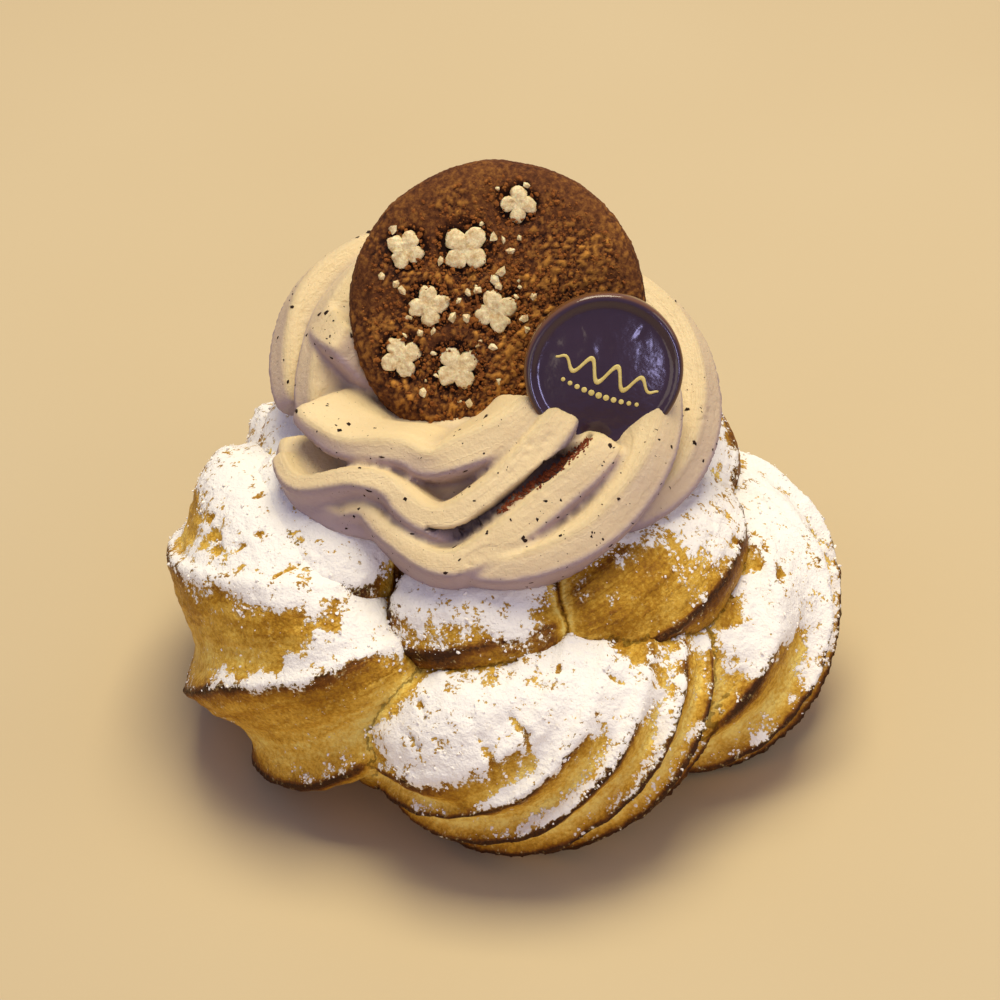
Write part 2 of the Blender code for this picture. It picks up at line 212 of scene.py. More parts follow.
def pipeForm(name, path, out, up, around, along, lift=(0, 0), sunk=0.0, flutes=0, depth=0.0, twist=0.0,
             boxy=1.0, blunt=0.5, crest=1.0, slope=0.0, lump=0.0, phase=0.0, calm=0.0):
    # returns the piece, its points and, for each, its place on the form's own unrolled round in mm
    bpy.ops.mesh.primitive_uv_sphere_add(segments=around, ring_count=along, radius=mm)
    piece = bpy.context.object
    piece.name = name
    ball = readPoints(piece)
    turn = np.arccos(np.clip(ball[:, 2], -1, 1))
    s = 0.5 - 0.5 * np.cos(turn)
    ownAngle = np.arctan2(ball[:, 1], ball[:, 0])
    angle = ownAngle + np.radians(phase - twist * s ** piping["twistEase"])
    azimuths = np.degrees(np.unwrap(np.radians([p[0] for p in path])))
    radii = [p[1] for p in path]
    heights = [p[2] for p in path]

    def place(share):
        azimuth = splineAt(azimuths, share)
        foot = radial(azimuth) * splineAt(radii, share)[:, None]
        foot[:, 2] += splineAt(heights, share)
        outward = radial(azimuth, splineAt(lift, share))
        return foot - outward * sunk, outward

    centre, outward = place(s)
    ahead = unit(place(np.minimum(1, s + 0.01))[0] - place(np.maximum(0, s - 0.01))[0])
    outward = unit(outward - ahead * np.sum(outward * ahead, axis=1)[:, None])
    across = np.cross(ahead, outward)
    swell = np.sin(turn) ** blunt
    reach = splineAt(out, s) * rounded(np.cos(angle), boxy)
    width = crest * splineAt(up, s) + slope * np.minimum(splineAt(out, s) - reach, piping["slopeDepth"])
    side = outward * reach[:, None] + across * (width * rounded(np.sin(angle), boxy))[:, None]
    if flutes:
        topside = np.maximum(0, np.sin(angle))
        head = calm * smoothStep(0.62, 0.78, s) * smoothStep(-0.2, 0.15, np.sin(angle))
        deep = depth * (1 - piping["fluteFade"] * topside) * (1 - head)
        side *= (1 - deep * fluteShare(ownAngle, flutes))[:, None]
    side *= swell[:, None]
    points = centre + side
    points += unit(side) * (noiseAt(points, piping["lumpSize"]) * lump * swell)[:, None]
    writePoints(piece, points)
    length = np.sum(np.linalg.norm(np.diff(place(np.linspace(0, 1, 40))[0], axis=0), axis=1))
    wide = np.mean(out)
    flow = np.stack([np.cos(ownAngle) * wide, np.sin(ownAngle) * wide, s * length, np.zeros_like(s)], axis=1)
    return piece, points, flow


class Flow:
    # remembers which way each piped form runs, so that later relief can follow it
    spacing = 60.0  # keeps the patterns of two forms apart

    def __init__(self):
        self.points, self.flows = [], []

    def add(self, made, number):
        piece, points, flow = made
        flow[:, 0] += number * self.spacing
        flow[:, 3] = number
        self.points.append(points)
        self.flows.append(flow)
        return piece

    def at(self, points):
        known = np.concatenate(self.points)
        tree = KDTree(len(known))
        for i, point in enumerate(known.tolist()):
            tree.insert(point, i)
        tree.balance()
        nearest = [tree.find(point)[1] for point in points.tolist()]
        return np.concatenate(self.flows)[nearest]


wayNames = ("wayOut", "wayRound", "wayAlong")


def storeWay(piece, way):
    for name, column in zip(wayNames, way.T):
        storeValues(piece, name, column)


# ---- choux

choux = {
    "runs": {  # from under the next lobe to past the lobe's own head, in steps of azimuth, radius and height
        "side": ((66, -8, 7), (38, -2, 3.5), (5, 0, 0), (-30, -1, -1)),
        "front": ((66, -8, 7), (38, -2, 3.5), (5, 0, 0), (-26, -2, 3)),
        "left": ((66, -5, 2), (38, 0.8, -1), (5, 0, 0), (-39, 1.5, 0)),
    },
    # head azimuth, ring radius, height, half width out, half height, flutes, their depth, twist, phase, boxy,
    # run, sugar slope, share of the flutes lost on the head
    "lobes": (
        (268, 33.0, 15.5, 20.0, 18.0, 13, 0.18, 265, 16, 1.0, "front", 0.46, 0.85),
        (335, 33.6, 14.5, 18.8, 18.0, 8, 0.25, 240, 12, 1.0, "side", 0.44, 0.0),
        (53, 29.5, 14.5, 17.0, 17.0, 7, 0.25, 230, 30, 1.0, "side", 0.48, 0.0),
        (123, 32.0, 15.5, 18.0, 18.0, 7, 0.25, 230, 21, 1.0, "side", 0.48, 0.0),
        (194, 32.3, 20.0, 19.5, 22.0, 6, 0.22, 205, 64, 0.85, "left", 0.50, 0.0),
    ),
    "taper": (0.58, 0.84, 1.0, 1.0),
    "pillows": (  # middle azimuth, half arc, ring radius, height, half width out, half height, sugar slope
        (264, 26, 26.5, 30.0, 11.0, 10.5, 0.66),
        (322, 38, 26.5, 30.5, 12.5, 12.0, 0.74),
        (28, 36, 25.0, 30.0, 12.0, 12.0, 0.62),
        (92, 36, 25.5, 30.5, 12.5, 12.0, 0.62),
        (150, 34, 26.0, 31.0, 12.5, 12.0, 0.60),
        (203, 33, 27.0, 31.5, 13.0, 12.0, 0.52),
    ),
    "pillowFlutes": 5,
    "pillowDepth": 0.08,
    "lump": 0.9,
    "core": (33.0, 26.0, 40.0),  # foot radius, top radius, top height
    "baseVoxel": 0.535,
    "crownVoxel": 0.42,
    "crownFoot": 18.0,  # the crown tier is cut here, well inside the base tier
    "smoothing": 60,  # rounds of averaging that flatten a flute away
    "wrinkle": (0.34, (1.6, 1.6, 8.0)),  # height and size of the wrinkles that run along a lobe
    "blister": (0.26, 2.6),  # height and size
    "crackle": (0.34, 4.2),
    "grain": (0.12, 1.1),
    "tearDepth": 0.4,
    "thick": (  # azimuth, radius, height, reach: where the dusting fell thick
        (252, 45.0, 22.0, 5.5), (259.5, 46.0, 24.0, 6.0), (257, 48.0, 19.0, 5.0), (266, 44.5, 27.0, 5.0),
        (250.5, 46.5, 18.5, 4.0), (280, 40.0, 31.5, 4.0), (291, 38.5, 32.0, 4.0), (293, 43.5, 28.3, 3.0),
        (217, 49.8, 18.4, 2.4), (226, 49.0, 25.0, 3.0), (231.7, 46.2, 29.7, 2.6), (234.3, 42.1, 32.6, 2.2),
        (238, 38.7, 33.4, 2.6), (241, 36.0, 33.0, 3.0), (337, 47.0, 22.0, 5.0), (350, 44.0, 25.0, 5.0),
        (20, 44.0, 22.0, 4.0), (70, 42.0, 25.0, 4.0),
    ),
    "bare": (  # azimuth, radius, height, reach: where the dusting missed
        (296, 32.5, 37.5, 8.5), (309, 33.0, 37.0, 7.5), (303, 36.5, 32.5, 7.0), (264, 37.5, 31.0, 5.0),
        (189, 34.5, 39.5, 2.6), (196, 35.5, 39.0, 2.0), (198, 42.5, 33.3, 2.2), (204, 40.3, 35.4, 1.6),
        (186, 46.5, 31.0, 4.5), (318, 45.2, 18.5, 5.0), (308, 43.0, 25.0, 4.5), (281, 38.5, 31.0, 4.0),
        (213.3, 47.3, 29.4, 4.2), (221.7, 45.6, 32.0, 4.2), (227.9, 42.8, 34.5, 3.2),
        (231.8, 38.6, 35.2, 2.4), (219.2, 47.4, 27.5, 3.2), (225.6, 46.6, 29.6, 2.0),
        (238.2, 44.7, 29.1, 3.0), (243.3, 40.8, 30.4, 3.4), (248.7, 39.0, 26.8, 4.6),
        (325.0, 38.3, 33.0, 3.0), (316.6, 38.4, 31.2, 2.4), (326.3, 39.3, 28.6, 2.5),
        (314.5, 43.1, 25.9, 3.0), (315.2, 44.4, 19.5, 3.6), (308.0, 44.3, 23.5, 2.4),
        (335.7, 47.7, 19.8, 2.4), (329.2, 48.8, 14.5, 3.0), (338.3, 50.3, 18.5, 2.2),
        (340, 38.0, 31.5, 2.5), (75, 36.5, 35.0, 6.0), (128, 37.0, 36.0, 5.5), (20, 37.0, 34.0, 5.5),
    ),
    "tears": (  # azimuth and radius of both ends, half width: dry splits that the sugar doesn't bridge
        (257.7, 44.8, 260.8, 47.5, 0.6), (264.1, 43.9, 268.7, 48.4, 0.65), (271.5, 43.5, 274.8, 46.8, 0.55),
        (252.6, 45.2, 255.8, 46.4, 0.5), (271.6, 48.8, 275.4, 47.8, 0.5), (254.5, 42.2, 256.3, 43.9, 0.4),
        (282.6, 38.6, 280.4, 40.3, 0.45), (292.1, 40.5, 294.0, 41.5, 0.9), (350.0, 36.5, 341.5, 43.0, 0.8),
        (335.3, 36.6, 339.9, 39.2, 0.8), (339.9, 39.2, 340.4, 43.6, 0.6), (193.9, 42.8, 202.9, 43.5, 0.8),
        (206.3, 41.7, 206.8, 38.4, 0.7), (210.9, 39.2, 208.4, 38.3, 0.6), (217.3, 43.2, 219.4, 36.7, 0.5),
        (60.0, 36.0, 66.0, 44.0, 0.7), (132.0, 38.0, 124.0, 45.0, 0.8), (20.0, 40.0, 27.0, 46.0, 0.6),
    ),
    "blisters": (  # azimuth, radius, height, radius of the blister
        (246.5, 41.5, 23.2, 1.5), (249.5, 42.3, 20.8, 1.2), (244.0, 42.3, 20.0, 1.0),
        (285.0, 38.5, 30.5, 1.3), (330.0, 45.5, 18.0, 1.2), (224.0, 44.0, 20.0, 1.3),
        (300.0, 37.0, 30.0, 1.1), (95.0, 44.0, 24.0, 1.4), (160.0, 45.0, 22.0, 1.3), (30.0, 44.5, 20.0, 1.2),
    ),
}


def makeCore(foot, top, low, high, sides=160):
    bpy.ops.mesh.primitive_cone_add(
        vertices=sides, radius1=foot * mm, radius2=top * mm, depth=(high - low) * mm,
        location=(0, 0, (high + low) / 2 * mm),
    )
    core = bpy.context.object
    bpy.ops.object.transform_apply(location=True)
    return core


def weldTier(name, pieces, voxel):
    tier = joinPieces(name, pieces)
    applyModifier(tier, "REMESH", mode="VOXEL", voxel_size=voxel * mm, use_smooth_shade=True)
    applyModifier(tier, "SMOOTH", factor=0.5, iterations=1)
    return tier


def cutFlat(piece, height):
    # takes off what lies below that height and closes the cut
    makeActive(piece)
    bpy.ops.object.mode_set(mode="EDIT")
    bpy.ops.mesh.select_all(action="SELECT")
    bpy.ops.mesh.bisect(plane_co=(0, 0, height * mm), plane_no=(0, 0, 1), use_fill=True, clear_inner=True)
    bpy.ops.object.mode_set(mode="OBJECT")


def pipeBase(flow):
    foot, top, coreTop = choux["core"]
    pieces = [makeCore(foot, top + 1.5, -1.0, coreTop - 8.0)]
    for number, lobe in enumerate(choux["lobes"]):
        head, ring, height, out, up, flutes, depth, twist, phase, boxy, run, _, calm = lobe
        path = [(head + swing, ring + wider, height + higher) for swing, wider, higher in choux["runs"][run]]
        made = pipeForm(
            f"lobe{number}", path,
            [out * share for share in choux["taper"]], [up * share for share in choux["taper"]],
            around=flutes * round(220 / flutes), along=130, flutes=flutes, depth=depth, twist=twist,
            boxy=boxy, blunt=0.75, lump=choux["lump"], phase=phase, calm=calm,
        )
        pieces.append(flow.add(made, number))
    return weldTier("chouxBase", pieces, choux["baseVoxel"])


def pipeCrown(flow):
    random.seed(7)
    foot, top, coreTop = choux["core"]
    pieces = [makeCore(foot - 6, top, choux["crownFoot"], coreTop)]
    for number, (azimuth, halfArc, ring, height, out, up, _) in enumerate(choux["pillows"]):
        path = [(azimuth + halfArc * k, ring, height - abs(k)) for k in (1, 0, -1)]
        made = pipeForm(
            f"pillow{number}", path, (out, out, out), (up, up, up), around=120, along=90,
            flutes=choux["pillowFlutes"], depth=choux["pillowDepth"], twist=60, blunt=0.7,
            lump=choux["lump"], phase=random.uniform(-30, 30),
        )
        pieces.append(flow.add(made, len(choux["lobes"]) + number))
    return weldTier("chouxCrown", pieces, choux["crownVoxel"])


def skyShare(trees, points, normals, reach=30.0):
    # how much of the sky above each point is open, from 0 to 1
    ways = [Vector((0, 0, 1))]
    for ring, tilt in ((5, 25), (6, 50)):
        for k in range(ring):
            a, b = 2 * math.pi * (k + 0.5 * (tilt > 30)) / ring, math.radians(tilt)
            ways.append(Vector((math.cos(a) * math.sin(b), math.sin(a) * math.sin(b), math.cos(b))))
    starts = (points + normals * 0.7) * mm
    share = np.zeros(len(points))
    for i, start in enumerate(starts.tolist()):
        if normals[i, 2] > -0.2:
            clear = [all(tree.ray_cast(start, way, reach * mm)[0] is None for tree in trees) for way in ways]
            share[i] = sum(clear) / len(ways)
    return share


def onPlan(azimuth, radius, height=0.0):
    a = math.radians(azimuth)
    return np.array([radius * math.cos(a), radius * math.sin(a), height])


def nearSpots(points, spots, softness=0.45):
    # 1 inside any of the (azimuth, radius, height, reach) balls, fading to 0 round them
    share = np.zeros(len(points))
    for azimuth, radius, height, reach in spots:
        away = np.linalg.norm(points - onPlan(azimuth, radius, height), axis=1) / reach
        share = np.maximum(share, 1 - smoothStep(1 - softness, 1 + softness, away))
    return share


def nearTears(points):
    share = np.zeros(len(points))
    wobble = 0.5 * np.stack([noiseAt(points, 2.0, 71), noiseAt(points, 2.0, 72)], axis=1)
    flat = points[:, :2] + wobble
    for azimuth, radius, endAzimuth, endRadius, halfWidth in choux["tears"]:
        a, b = onPlan(azimuth, radius)[:2], onPlan(endAzimuth, endRadius)[:2]
        t = np.clip((flat - a) @ (b - a) / np.sum((b - a) ** 2), 0, 1)
        away = np.linalg.norm(flat - a - t[:, None] * (b - a), axis=1)
        reach = halfWidth * (1.15 - 0.6 * np.abs(t - 0.5))  # narrower towards both ends
        share = np.maximum(share, 1 - smoothStep(0.3, 1.3, away / reach))
    return share * (points[:, 2] > 12)


def crustRelief(tier, points, way):
    # height in mm of the wrinkles, blisters, cracks and grain of the baked skin
    (wrinkle, wrinkleSize), (blister, blisterSize) = choux["wrinkle"], choux["blister"]
    (crackle, crackleSize), (grain, grainSize) = choux["crackle"], choux["grain"]
    relief = blister * noiseAt(points, blisterSize) + grain * noiseAt(points, grainSize, 30)
    relief += evened(tier, wrinkle * noiseAt(way, np.array(wrinkleSize), 7), 2)
    relief += crackle * (0.35 - np.abs(noiseAt(points, crackleSize, 55)))
    for azimuth, radius, height, reach in choux["blisters"]:
        away = np.linalg.norm(points - onPlan(azimuth, radius, height), axis=1) / reach
        relief += 0.5 * np.exp(-(away / 0.75) ** 4) - 0.3 * np.exp(-((away - 1.15) / 0.25) ** 2)
    return relief


dusting = {
    "steepness": 1.15,  # how fast the sugar thins as the crust turns from the sky
    "openSky": 0.86,  # the share of open sky that neither adds sugar nor takes it
    "patches": ((8.0, 0.26, 11), (3.2, 0.34, 3), (1.5, 0.20, 8)),  # size, weight and seed of the uneven fall
    "ridgeGain": 0.14,
    "thickGain": 0.32,
    "bareLoss": 0.8,
    "tearLoss": 0.9,
    "most": 0.84,  # the fullest cover
    "powder": 0.24,  # thickness of the sugar
}


def sugarLevel(points, facing, slope, sky, ridge, tears):
    # from 0, bare, to 1, covered
    bare, thick = nearSpots(points, choux["bare"]), nearSpots(points, choux["thick"])
    patches = sum(weight * noiseAt(points, size, seed) for size, weight, seed in dusting["patches"])
    level = (facing - slope) * dusting["steepness"] + sky - dusting["openSky"] + patches
    level += dusting["ridgeGain"] * np.clip(ridge, -1, 1.5) + dusting["thickGain"] * thick
    level -= dusting["bareLoss"] * bare * (0.85 + 0.7 * noiseAt(points, 3.5, 29))
    level -= dusting["tearLoss"] * tears
    most = dusting["most"] + 0.22 * noiseAt(points, 8.0, 44) + 0.24 * noiseAt(points, 2.6, 46)
    return np.clip(np.minimum(0.5 + level, most), 0, 1)


def dressTier(tier, flow, trees):
    # bakes the crust's relief and the sugar's thickness into the mesh, and stores where the sugar is
    points, normals = readPoints(tier), readNormals(tier)
    broad = evened(tier, points, choux["smoothing"])
    broader = evened(tier, broad, choux["smoothing"])
    ridge = np.sum((points - broad) * normals, axis=1)
    crease = evened(tier, centred(np.sum((broader - points) * normals, axis=1)), 4)
    sky = evened(tier, skyShare(trees, points, normals), 2)
    facing = evened(tier, normals, 5)[:, 2]
    way = flow.at(points)
    slopes = np.array([lobe[-2] for lobe in choux["lobes"]] + [pillow[-1] for pillow in choux["pillows"]])
    slope = evened(tier, slopes[np.rint(way[:, 3]).astype(int)], 12)
    way = way[:, :3]

    tears = nearTears(points) * smoothStep(-0.35, 0.25, noiseAt(points, 1.8, 37))
    sugar = sugarLevel(points, facing, slope, sky, ridge, tears)
    cover = smoothStep(0.4, 0.7, sugar)
    powder = dusting["powder"] * cover * (1 + 0.5 * noiseAt(points, 1.5, 17) + 0.4 * noiseAt(points, 0.9, 5))
    relief = crustRelief(tier, points, way) * (1 - 0.4 * cover) - choux["tearDepth"] * tears + powder

    writePoints(tier, points + normals * relief[:, None])
    storeValues(tier, "sugar", sugar)
    storeValues(tier, "ridge", centred(ridge))
    storeValues(tier, "crease", crease)
    storeValues(tier, "sky", sky)
    storeWay(tier, way)


grains = {
    "count": {"chouxBase": 6400, "chouxCrown": 2900},
    "sizes": (0.07, 0.3),  # half widths
    "edge": (0.12, 0.56),  # the sugar levels where loose grains lie
}


def scatter(name, spots, ways, sizes, flat=0.7, stretch=1.3):
    # a joined mesh of small uneven lumps, one on each spot
    bpy.ops.mesh.primitive_ico_sphere_add(subdivisions=1, radius=mm)
    seed = bpy.context.object
    shape = readPoints(seed)
    faces = np.array([face.vertices[:] for face in seed.data.polygons])
    bpy.data.objects.remove(seed)
    chance = np.random.default_rng(len(spots))
    count, corners = len(spots), len(shape)
    lumps = shape[None] * (1 + 0.3 * chance.standard_normal((count, corners, 1)).clip(-1.2, 1.2))
    lumps = lumps * chance.uniform(2 - stretch, stretch, (count, 1, 3))
    side = unit(np.cross(ways, unit(chance.standard_normal((count, 3)))))
    basis = np.stack([side, np.cross(ways, side), ways * flat], axis=1)
    lumps = np.einsum("nvk,nkc->nvc", lumps, basis) * np.asarray(sizes)[:, None, None] + spots[:, None]
    allFaces = (faces[None] + np.arange(count)[:, None, None] * corners).reshape(-1, 3)
    data = bpy.data.meshes.new(name)
    data.from_pydata((lumps.reshape(-1, 3) * mm).tolist(), [], allFaces.tolist())
    piece = bpy.data.objects.new(name, data)
    bpy.context.scene.collection.objects.link(piece)
    return piece


def readValues(piece, name):
    values = np.empty(len(piece.data.vertices), dtype=np.float32)
    piece.data.attributes[name].data.foreach_get("value", values)
    return values


def looseSugar(tier, name):
    # grains and clumps that rolled off the edges of the dusting
    points, normals = readPoints(tier), readNormals(tier)
    sugar, sky = readValues(tier, "sugar"), readValues(tier, "sky")
    low, high = grains["edge"]
    wish = np.where((sugar > low) & (sugar < high), 1.0, 0.0) + 0.2 * (sugar >= high)
    wish += 0.05 * (normals[:, 2] > 0.1) * (sky > 0.4)
    wish *= (normals[:, 2] > 0.0) * (points[:, 2] > 1) * smoothStep(-0.3, 0.3, noiseAt(points, 4.0, 21))
    chance = np.random.default_rng(11)
    count = grains["count"][tier.name]
    chosen = chance.choice(len(points), count, p=wish / wish.sum())
    spots = points[chosen] + chance.uniform(-0.25, 0.25, (count, 3))
    small, large = grains["sizes"]
    sizes = small + (large - small) * chance.random(count) ** 3
    return scatter(name, spots, normals[chosen], sizes)


# ---- cream

cream = {
    "depth": 7.5,
    "crest": 0.66,  # width of a strap's flat crest, as a share of its whole width
    "slope": 0.36,  # how far its sides spread for each mm below the crest
    "straps": (  # crest points, half widths along each crest and how many degrees up it looks at both ends
        (((184, 32.3, 53.0), (195, 29.4, 52.5), (207, 26.8, 52.5), (224, 22.6, 53.5),
          (241, 20.6, 53.6), (262, 17.6, 56.0), (298, 14.0, 60.0)),
         (1.9, 2.2, 2.5, 2.8, 3.2, 3.9, 4.2), (18, 42)),
        (((193, 34.4, 48.8), (207, 33.4, 47.8), (220, 28.6, 51.0), (232, 26.4, 50.8),
          (250, 27.2, 49.0), (267, 23.8, 52.0), (286, 19.4, 56.2), (310, 16.8, 60.4)),
         (1.9, 2.0, 2.3, 2.6, 3.0, 3.6, 4.0, 4.0), (48, 46)),
        (((219, 31.6, 45.5), (226, 29.2, 47.3), (238, 29.5, 45.9), (256, 31.2, 45.0),
          (271, 28.2, 48.2), (290, 24.9, 52.5), (319, 23.7, 58.0)),
         (1.5, 1.9, 2.3, 2.8, 3.4, 3.9, 3.8), (46, 46)),
        (((254, 30.2, 44.6), (272, 31.6, 45.2), (294, 30.6, 47.5), (311, 29.2, 51.0),
          (330, 27.8, 56.0), (354, 24.6, 61.0)), (2.6, 3.2, 3.7, 4.2, 4.2, 3.4), (36, 40)),
        (((314, 28.2, 45.0), (334, 29.8, 47.0), (354, 30.4, 50.6), (11, 30.2, 54.2),
          (28, 29.2, 57.5), (50, 26.5, 61.0)), (2.8, 3.8, 4.4, 4.6, 4.4, 3.4), (34, 38)),
        (((186, 33.0, 45.5), (200, 33.0, 44.6), (212, 31.6, 44.0), (226, 29.0, 43.6)),
         (2.4, 2.9, 2.9, 2.2), (14, 14)),
        (((168, 32.5, 48.0), (154, 34.8, 52.0), (141, 36.0, 56.0), (128, 34.4, 58.7),
          (112, 32.4, 60.5), (86, 27.0, 62.0)), (3.4, 4.4, 4.8, 4.8, 4.4, 3.2), (42, 40)),
        (((182, 28.5, 51.0), (166, 28.0, 55.5), (148, 28.0, 59.5), (128, 27.0, 62.5),
          (104, 24.0, 63.5)), (3.4, 4.2, 4.6, 4.6, 3.6), (46, 44)),
    ),
    "backStarts": (8, 42, 76, 110),  # azimuths where the like straps of the back begin
    "backCrest": ((0, 31.5, 44), (20, 32.0, 50), (42, 29.5, 56), (66, 24.5, 61)),
    "backWidths": (3.4, 4.2, 4.4, 3.6),
    "backLift": (36, 36),
    "core": (25.0, 25.0, 12.0),
    "coreCentre": (0.0, 2.0, 42.0),
    "boxy": 0.15,  # how square the nozzle's slots leave each strap
    "blunt": 0.17,  # how square its ends are
    "voxel": 0.42,
    "streaks": ((0.11, (0.65, 0.65, 26.0), 3), (0.07, (1.9, 1.9, 34.0), 13)),  # height, size and seed
    "lumps": ((0.09, 5.0, 40), (0.05, 1.2, 50)),  # height, size and seed
    "pitDepth": 0.22,
    "floor": 37.0,  # nothing of the cream shows below this height
    "slit": (  # azimuth, radius and height along the open slit between two straps
        (248.0, 27.0, 47.0), (256.4, 26.9, 47.0), (267.3, 24.3, 49.5), (278.0, 22.2, 52.0),
        (287.9, 21.5, 54.0), (297.3, 20.8, 55.5), (306.8, 20.7, 57.0),
    ),
    "slitFacing": (270, 40),  # azimuth and lift of the way the slit opens
    "slitWidth": 1.0,
    "slitDepth": 1.8,
}


def pipeCream():
    flow = Flow()
    straps = list(cream["straps"])
    for start in cream["backStarts"]:
        crest = [(start + swing, radius, height) for swing, radius, height in cream["backCrest"]]
        straps.append((crest, cream["backWidths"], cream["backLift"]))
    pieces = []
    for number, (crest, widths, lift) in enumerate(straps):
        made = pipeForm(
            f"strap{number}", crest, [cream["depth"]] * len(crest), widths, around=96, along=110,
            lift=lift, sunk=cream["depth"], boxy=cream["boxy"], blunt=cream["blunt"],
            crest=cream["crest"], slope=cream["slope"],
        )
        pieces.append(flow.add(made, number))
    bpy.ops.mesh.primitive_uv_sphere_add(segments=96, ring_count=48, radius=mm)
    core = bpy.context.object
    writePoints(core, readPoints(core) * np.array(cream["core"]) + np.array(cream["coreCentre"]))
    swirl = joinPieces("creamSwirl", [core] + pieces)
    applyModifier(swirl, "REMESH", mode="VOXEL", voxel_size=cream["voxel"] * mm, use_smooth_shade=True)
    applyModifier(swirl, "SMOOTH", factor=0.5, iterations=1)
    return swirl, flow


def slitLine(share):
    known = cream["slit"]
    s = np.asarray(share, dtype=float)
    azimuth, radius, height = (splineAt([p[k] for p in known], s) for k in range(3))
    line = radial(azimuth) * radius[:, None]
    line[:, 2] = height
    return line


def nearSlit(points):
    # 1 in the slit, which is measured square to the way the straps face
    away = radial(*cream["slitFacing"])
    shares = np.linspace(0, 1, 120)
    near = np.full(len(points), 99.0)
    place = np.zeros(len(points))
    for share, spot in zip(shares, slitLine(shares)):
        gap = points - spot
        deep = gap @ away
        gap = np.linalg.norm(gap - deep[:, None] * away, axis=1) + 9.0 * (np.abs(deep + 1.0) > 5.0)
        place = np.where(gap < near, share, place)
        near = np.minimum(near, gap)
    thin = cream["slitWidth"] * np.clip(3.0 * np.minimum(place + 0.15, 1.05 - place), 0.4, 1)
    return 1 - smoothStep(0.5, 1.2, (near + 0.2 * noiseAt(points, 1.6, 9)) / thin)


def dragCream(swirl, flow):
    # bakes the nozzle's streaks, the open slit and the cream's small pits into the mesh
    points, normals = readPoints(swirl), readNormals(swirl)
    way = flow.at(points)[:, :3]
    jump = np.linalg.norm(evened(swirl, way, 3) - way, axis=1)
    dragged = 1 - smoothStep(0.4, 1.6, evened(swirl, jump, 3))  # no lines where two straps meet
    relief = np.zeros(len(points))
    for height, size, seed in cream["streaks"]:
        relief += height * dragged * noiseAt(way, np.array(size), seed)
    for height, size, seed in cream["lumps"]:
        relief += height * noiseAt(points, size, seed)
    torn = smoothStep(0.1, 0.5, noiseAt(points, 6.0, 63))
    relief -= cream["pitDepth"] * torn * smoothStep(0.25, 0.6, noiseAt(points, 0.95, 33))
    slit = nearSlit(points)
    relief -= cream["slitDepth"] * slit
    writePoints(swirl, points + normals * relief[:, None])
    # painted shade: how deep each point lies below the smoothed cream, stored to darken its hollows
    deep = evened(swirl, np.sum((evened(swirl, points, 40) - points) * normals, axis=1), 3)
    storeValues(swirl, "slit", slit)
    storeValues(swirl, "dragged", dragged)
    storeValues(swirl, "paintedHollowShade", smoothStep(-0.1, 0.7, deep))
    # painted shade: how far each point faces up, so the cream's sides can take a shaded copy of its colour
    storeValues(swirl, "topside", smoothStep(0.15, 0.75, evened(swirl, normals, 4)[:, 2]))
    storeWay(swirl, way)
    cutFlat(swirl, cream["floor"])


specks = {
    "slitCount": 620,
    "slitSizes": (0.06, 0.26),
    "slitSpan": (0.36, 0.98),
    "creamCount": 1150,
    "creamSizes": (0.07, 0.42),
}


def slitCrumbs(swirl):
    # reddish cocoa crumbs lying along the lower lip of the slit
    tree = treeOf(swirl)
    chance = np.random.default_rng(5)
    away = radial(*cream["slitFacing"])
    spots, ways = [], []
    while len(spots) < specks["slitCount"]:
        spot = slitLine([chance.uniform(*specks["slitSpan"])])[0]
        spot += np.array([0.2, -0.3, -0.5]) + chance.normal(0, 0.3, 3)
        hit, normal, _, _ = tree.ray_cast(Vector((spot + away * 6) * mm), Vector(-away), 12 * mm)
        if hit is not None:
            spots.append(np.array(hit) / mm)
            ways.append(np.array(normal))
    sizes = chance.uniform(*specks["slitSizes"], len(spots))
    return scatter("slitCrumbs", np.array(spots), np.array(ways), sizes)


def groundCoffee(swirl):
    # dark grounds stirred into the cream, where they break its surface
    points, normals = readPoints(swirl), readNormals(swirl)
    chance = np.random.default_rng(8)
    wish = smoothStep(-0.5, 0.4, noiseAt(points, 7.0, 81)) * (points[:, 2] > cream["floor"] + 4)
    chosen = chance.choice(len(points), specks["creamCount"], replace=False, p=wish / wish.sum())
    small, large = specks["creamSizes"]
    sizes = small + (large - small) * chance.random(len(chosen)) ** 3.5
    spots = points[chosen] - normals[chosen] * sizes[:, None] * 0.25
    return scatter("groundCoffee", spots, normals[chosen], sizes, flat=0.5, stretch=1.65)


# ---- biscuit

biscuit = {
    "radius": 21.2,
    "thickness": 7.4,
    "centre": (-0.4, 3.7, 63.8),
    "lean": 35.0,
    "turn": -3.0,
    "voxel": 0.3,
    "crumbHeight": 0.4,
    "blossoms": (  # face radius, face angle, size, turn
        (0.0, 0, 1.0, 20), (9.8, 118, 1.1, 50), (9.6, 178, 0.95, 10), (9.9, 238, 1.05, 35),
        (15.4, 80, 0.85, 0), (15.6, 148, 0.9, 65), (15.2, 208, 0.95, 25),
    ),
    "blossomSize": 3.1,
    "notch": 0.42,
    "petals": 4,
    "looseCrumbs": 4200,
    "nibs": 44,
}


def blossomGap(x, y):
    # distance from the nearest blossom's middle, in blossom sizes
    gaps = []
    for reach, angle, scale, _ in biscuit["blossoms"]:
        middle = onPlan(angle, reach)
        gaps.append(np.hypot(x - middle[0], y - middle[1]) / (biscuit["blossomSize"] * scale))
    return np.min(gaps, axis=0)


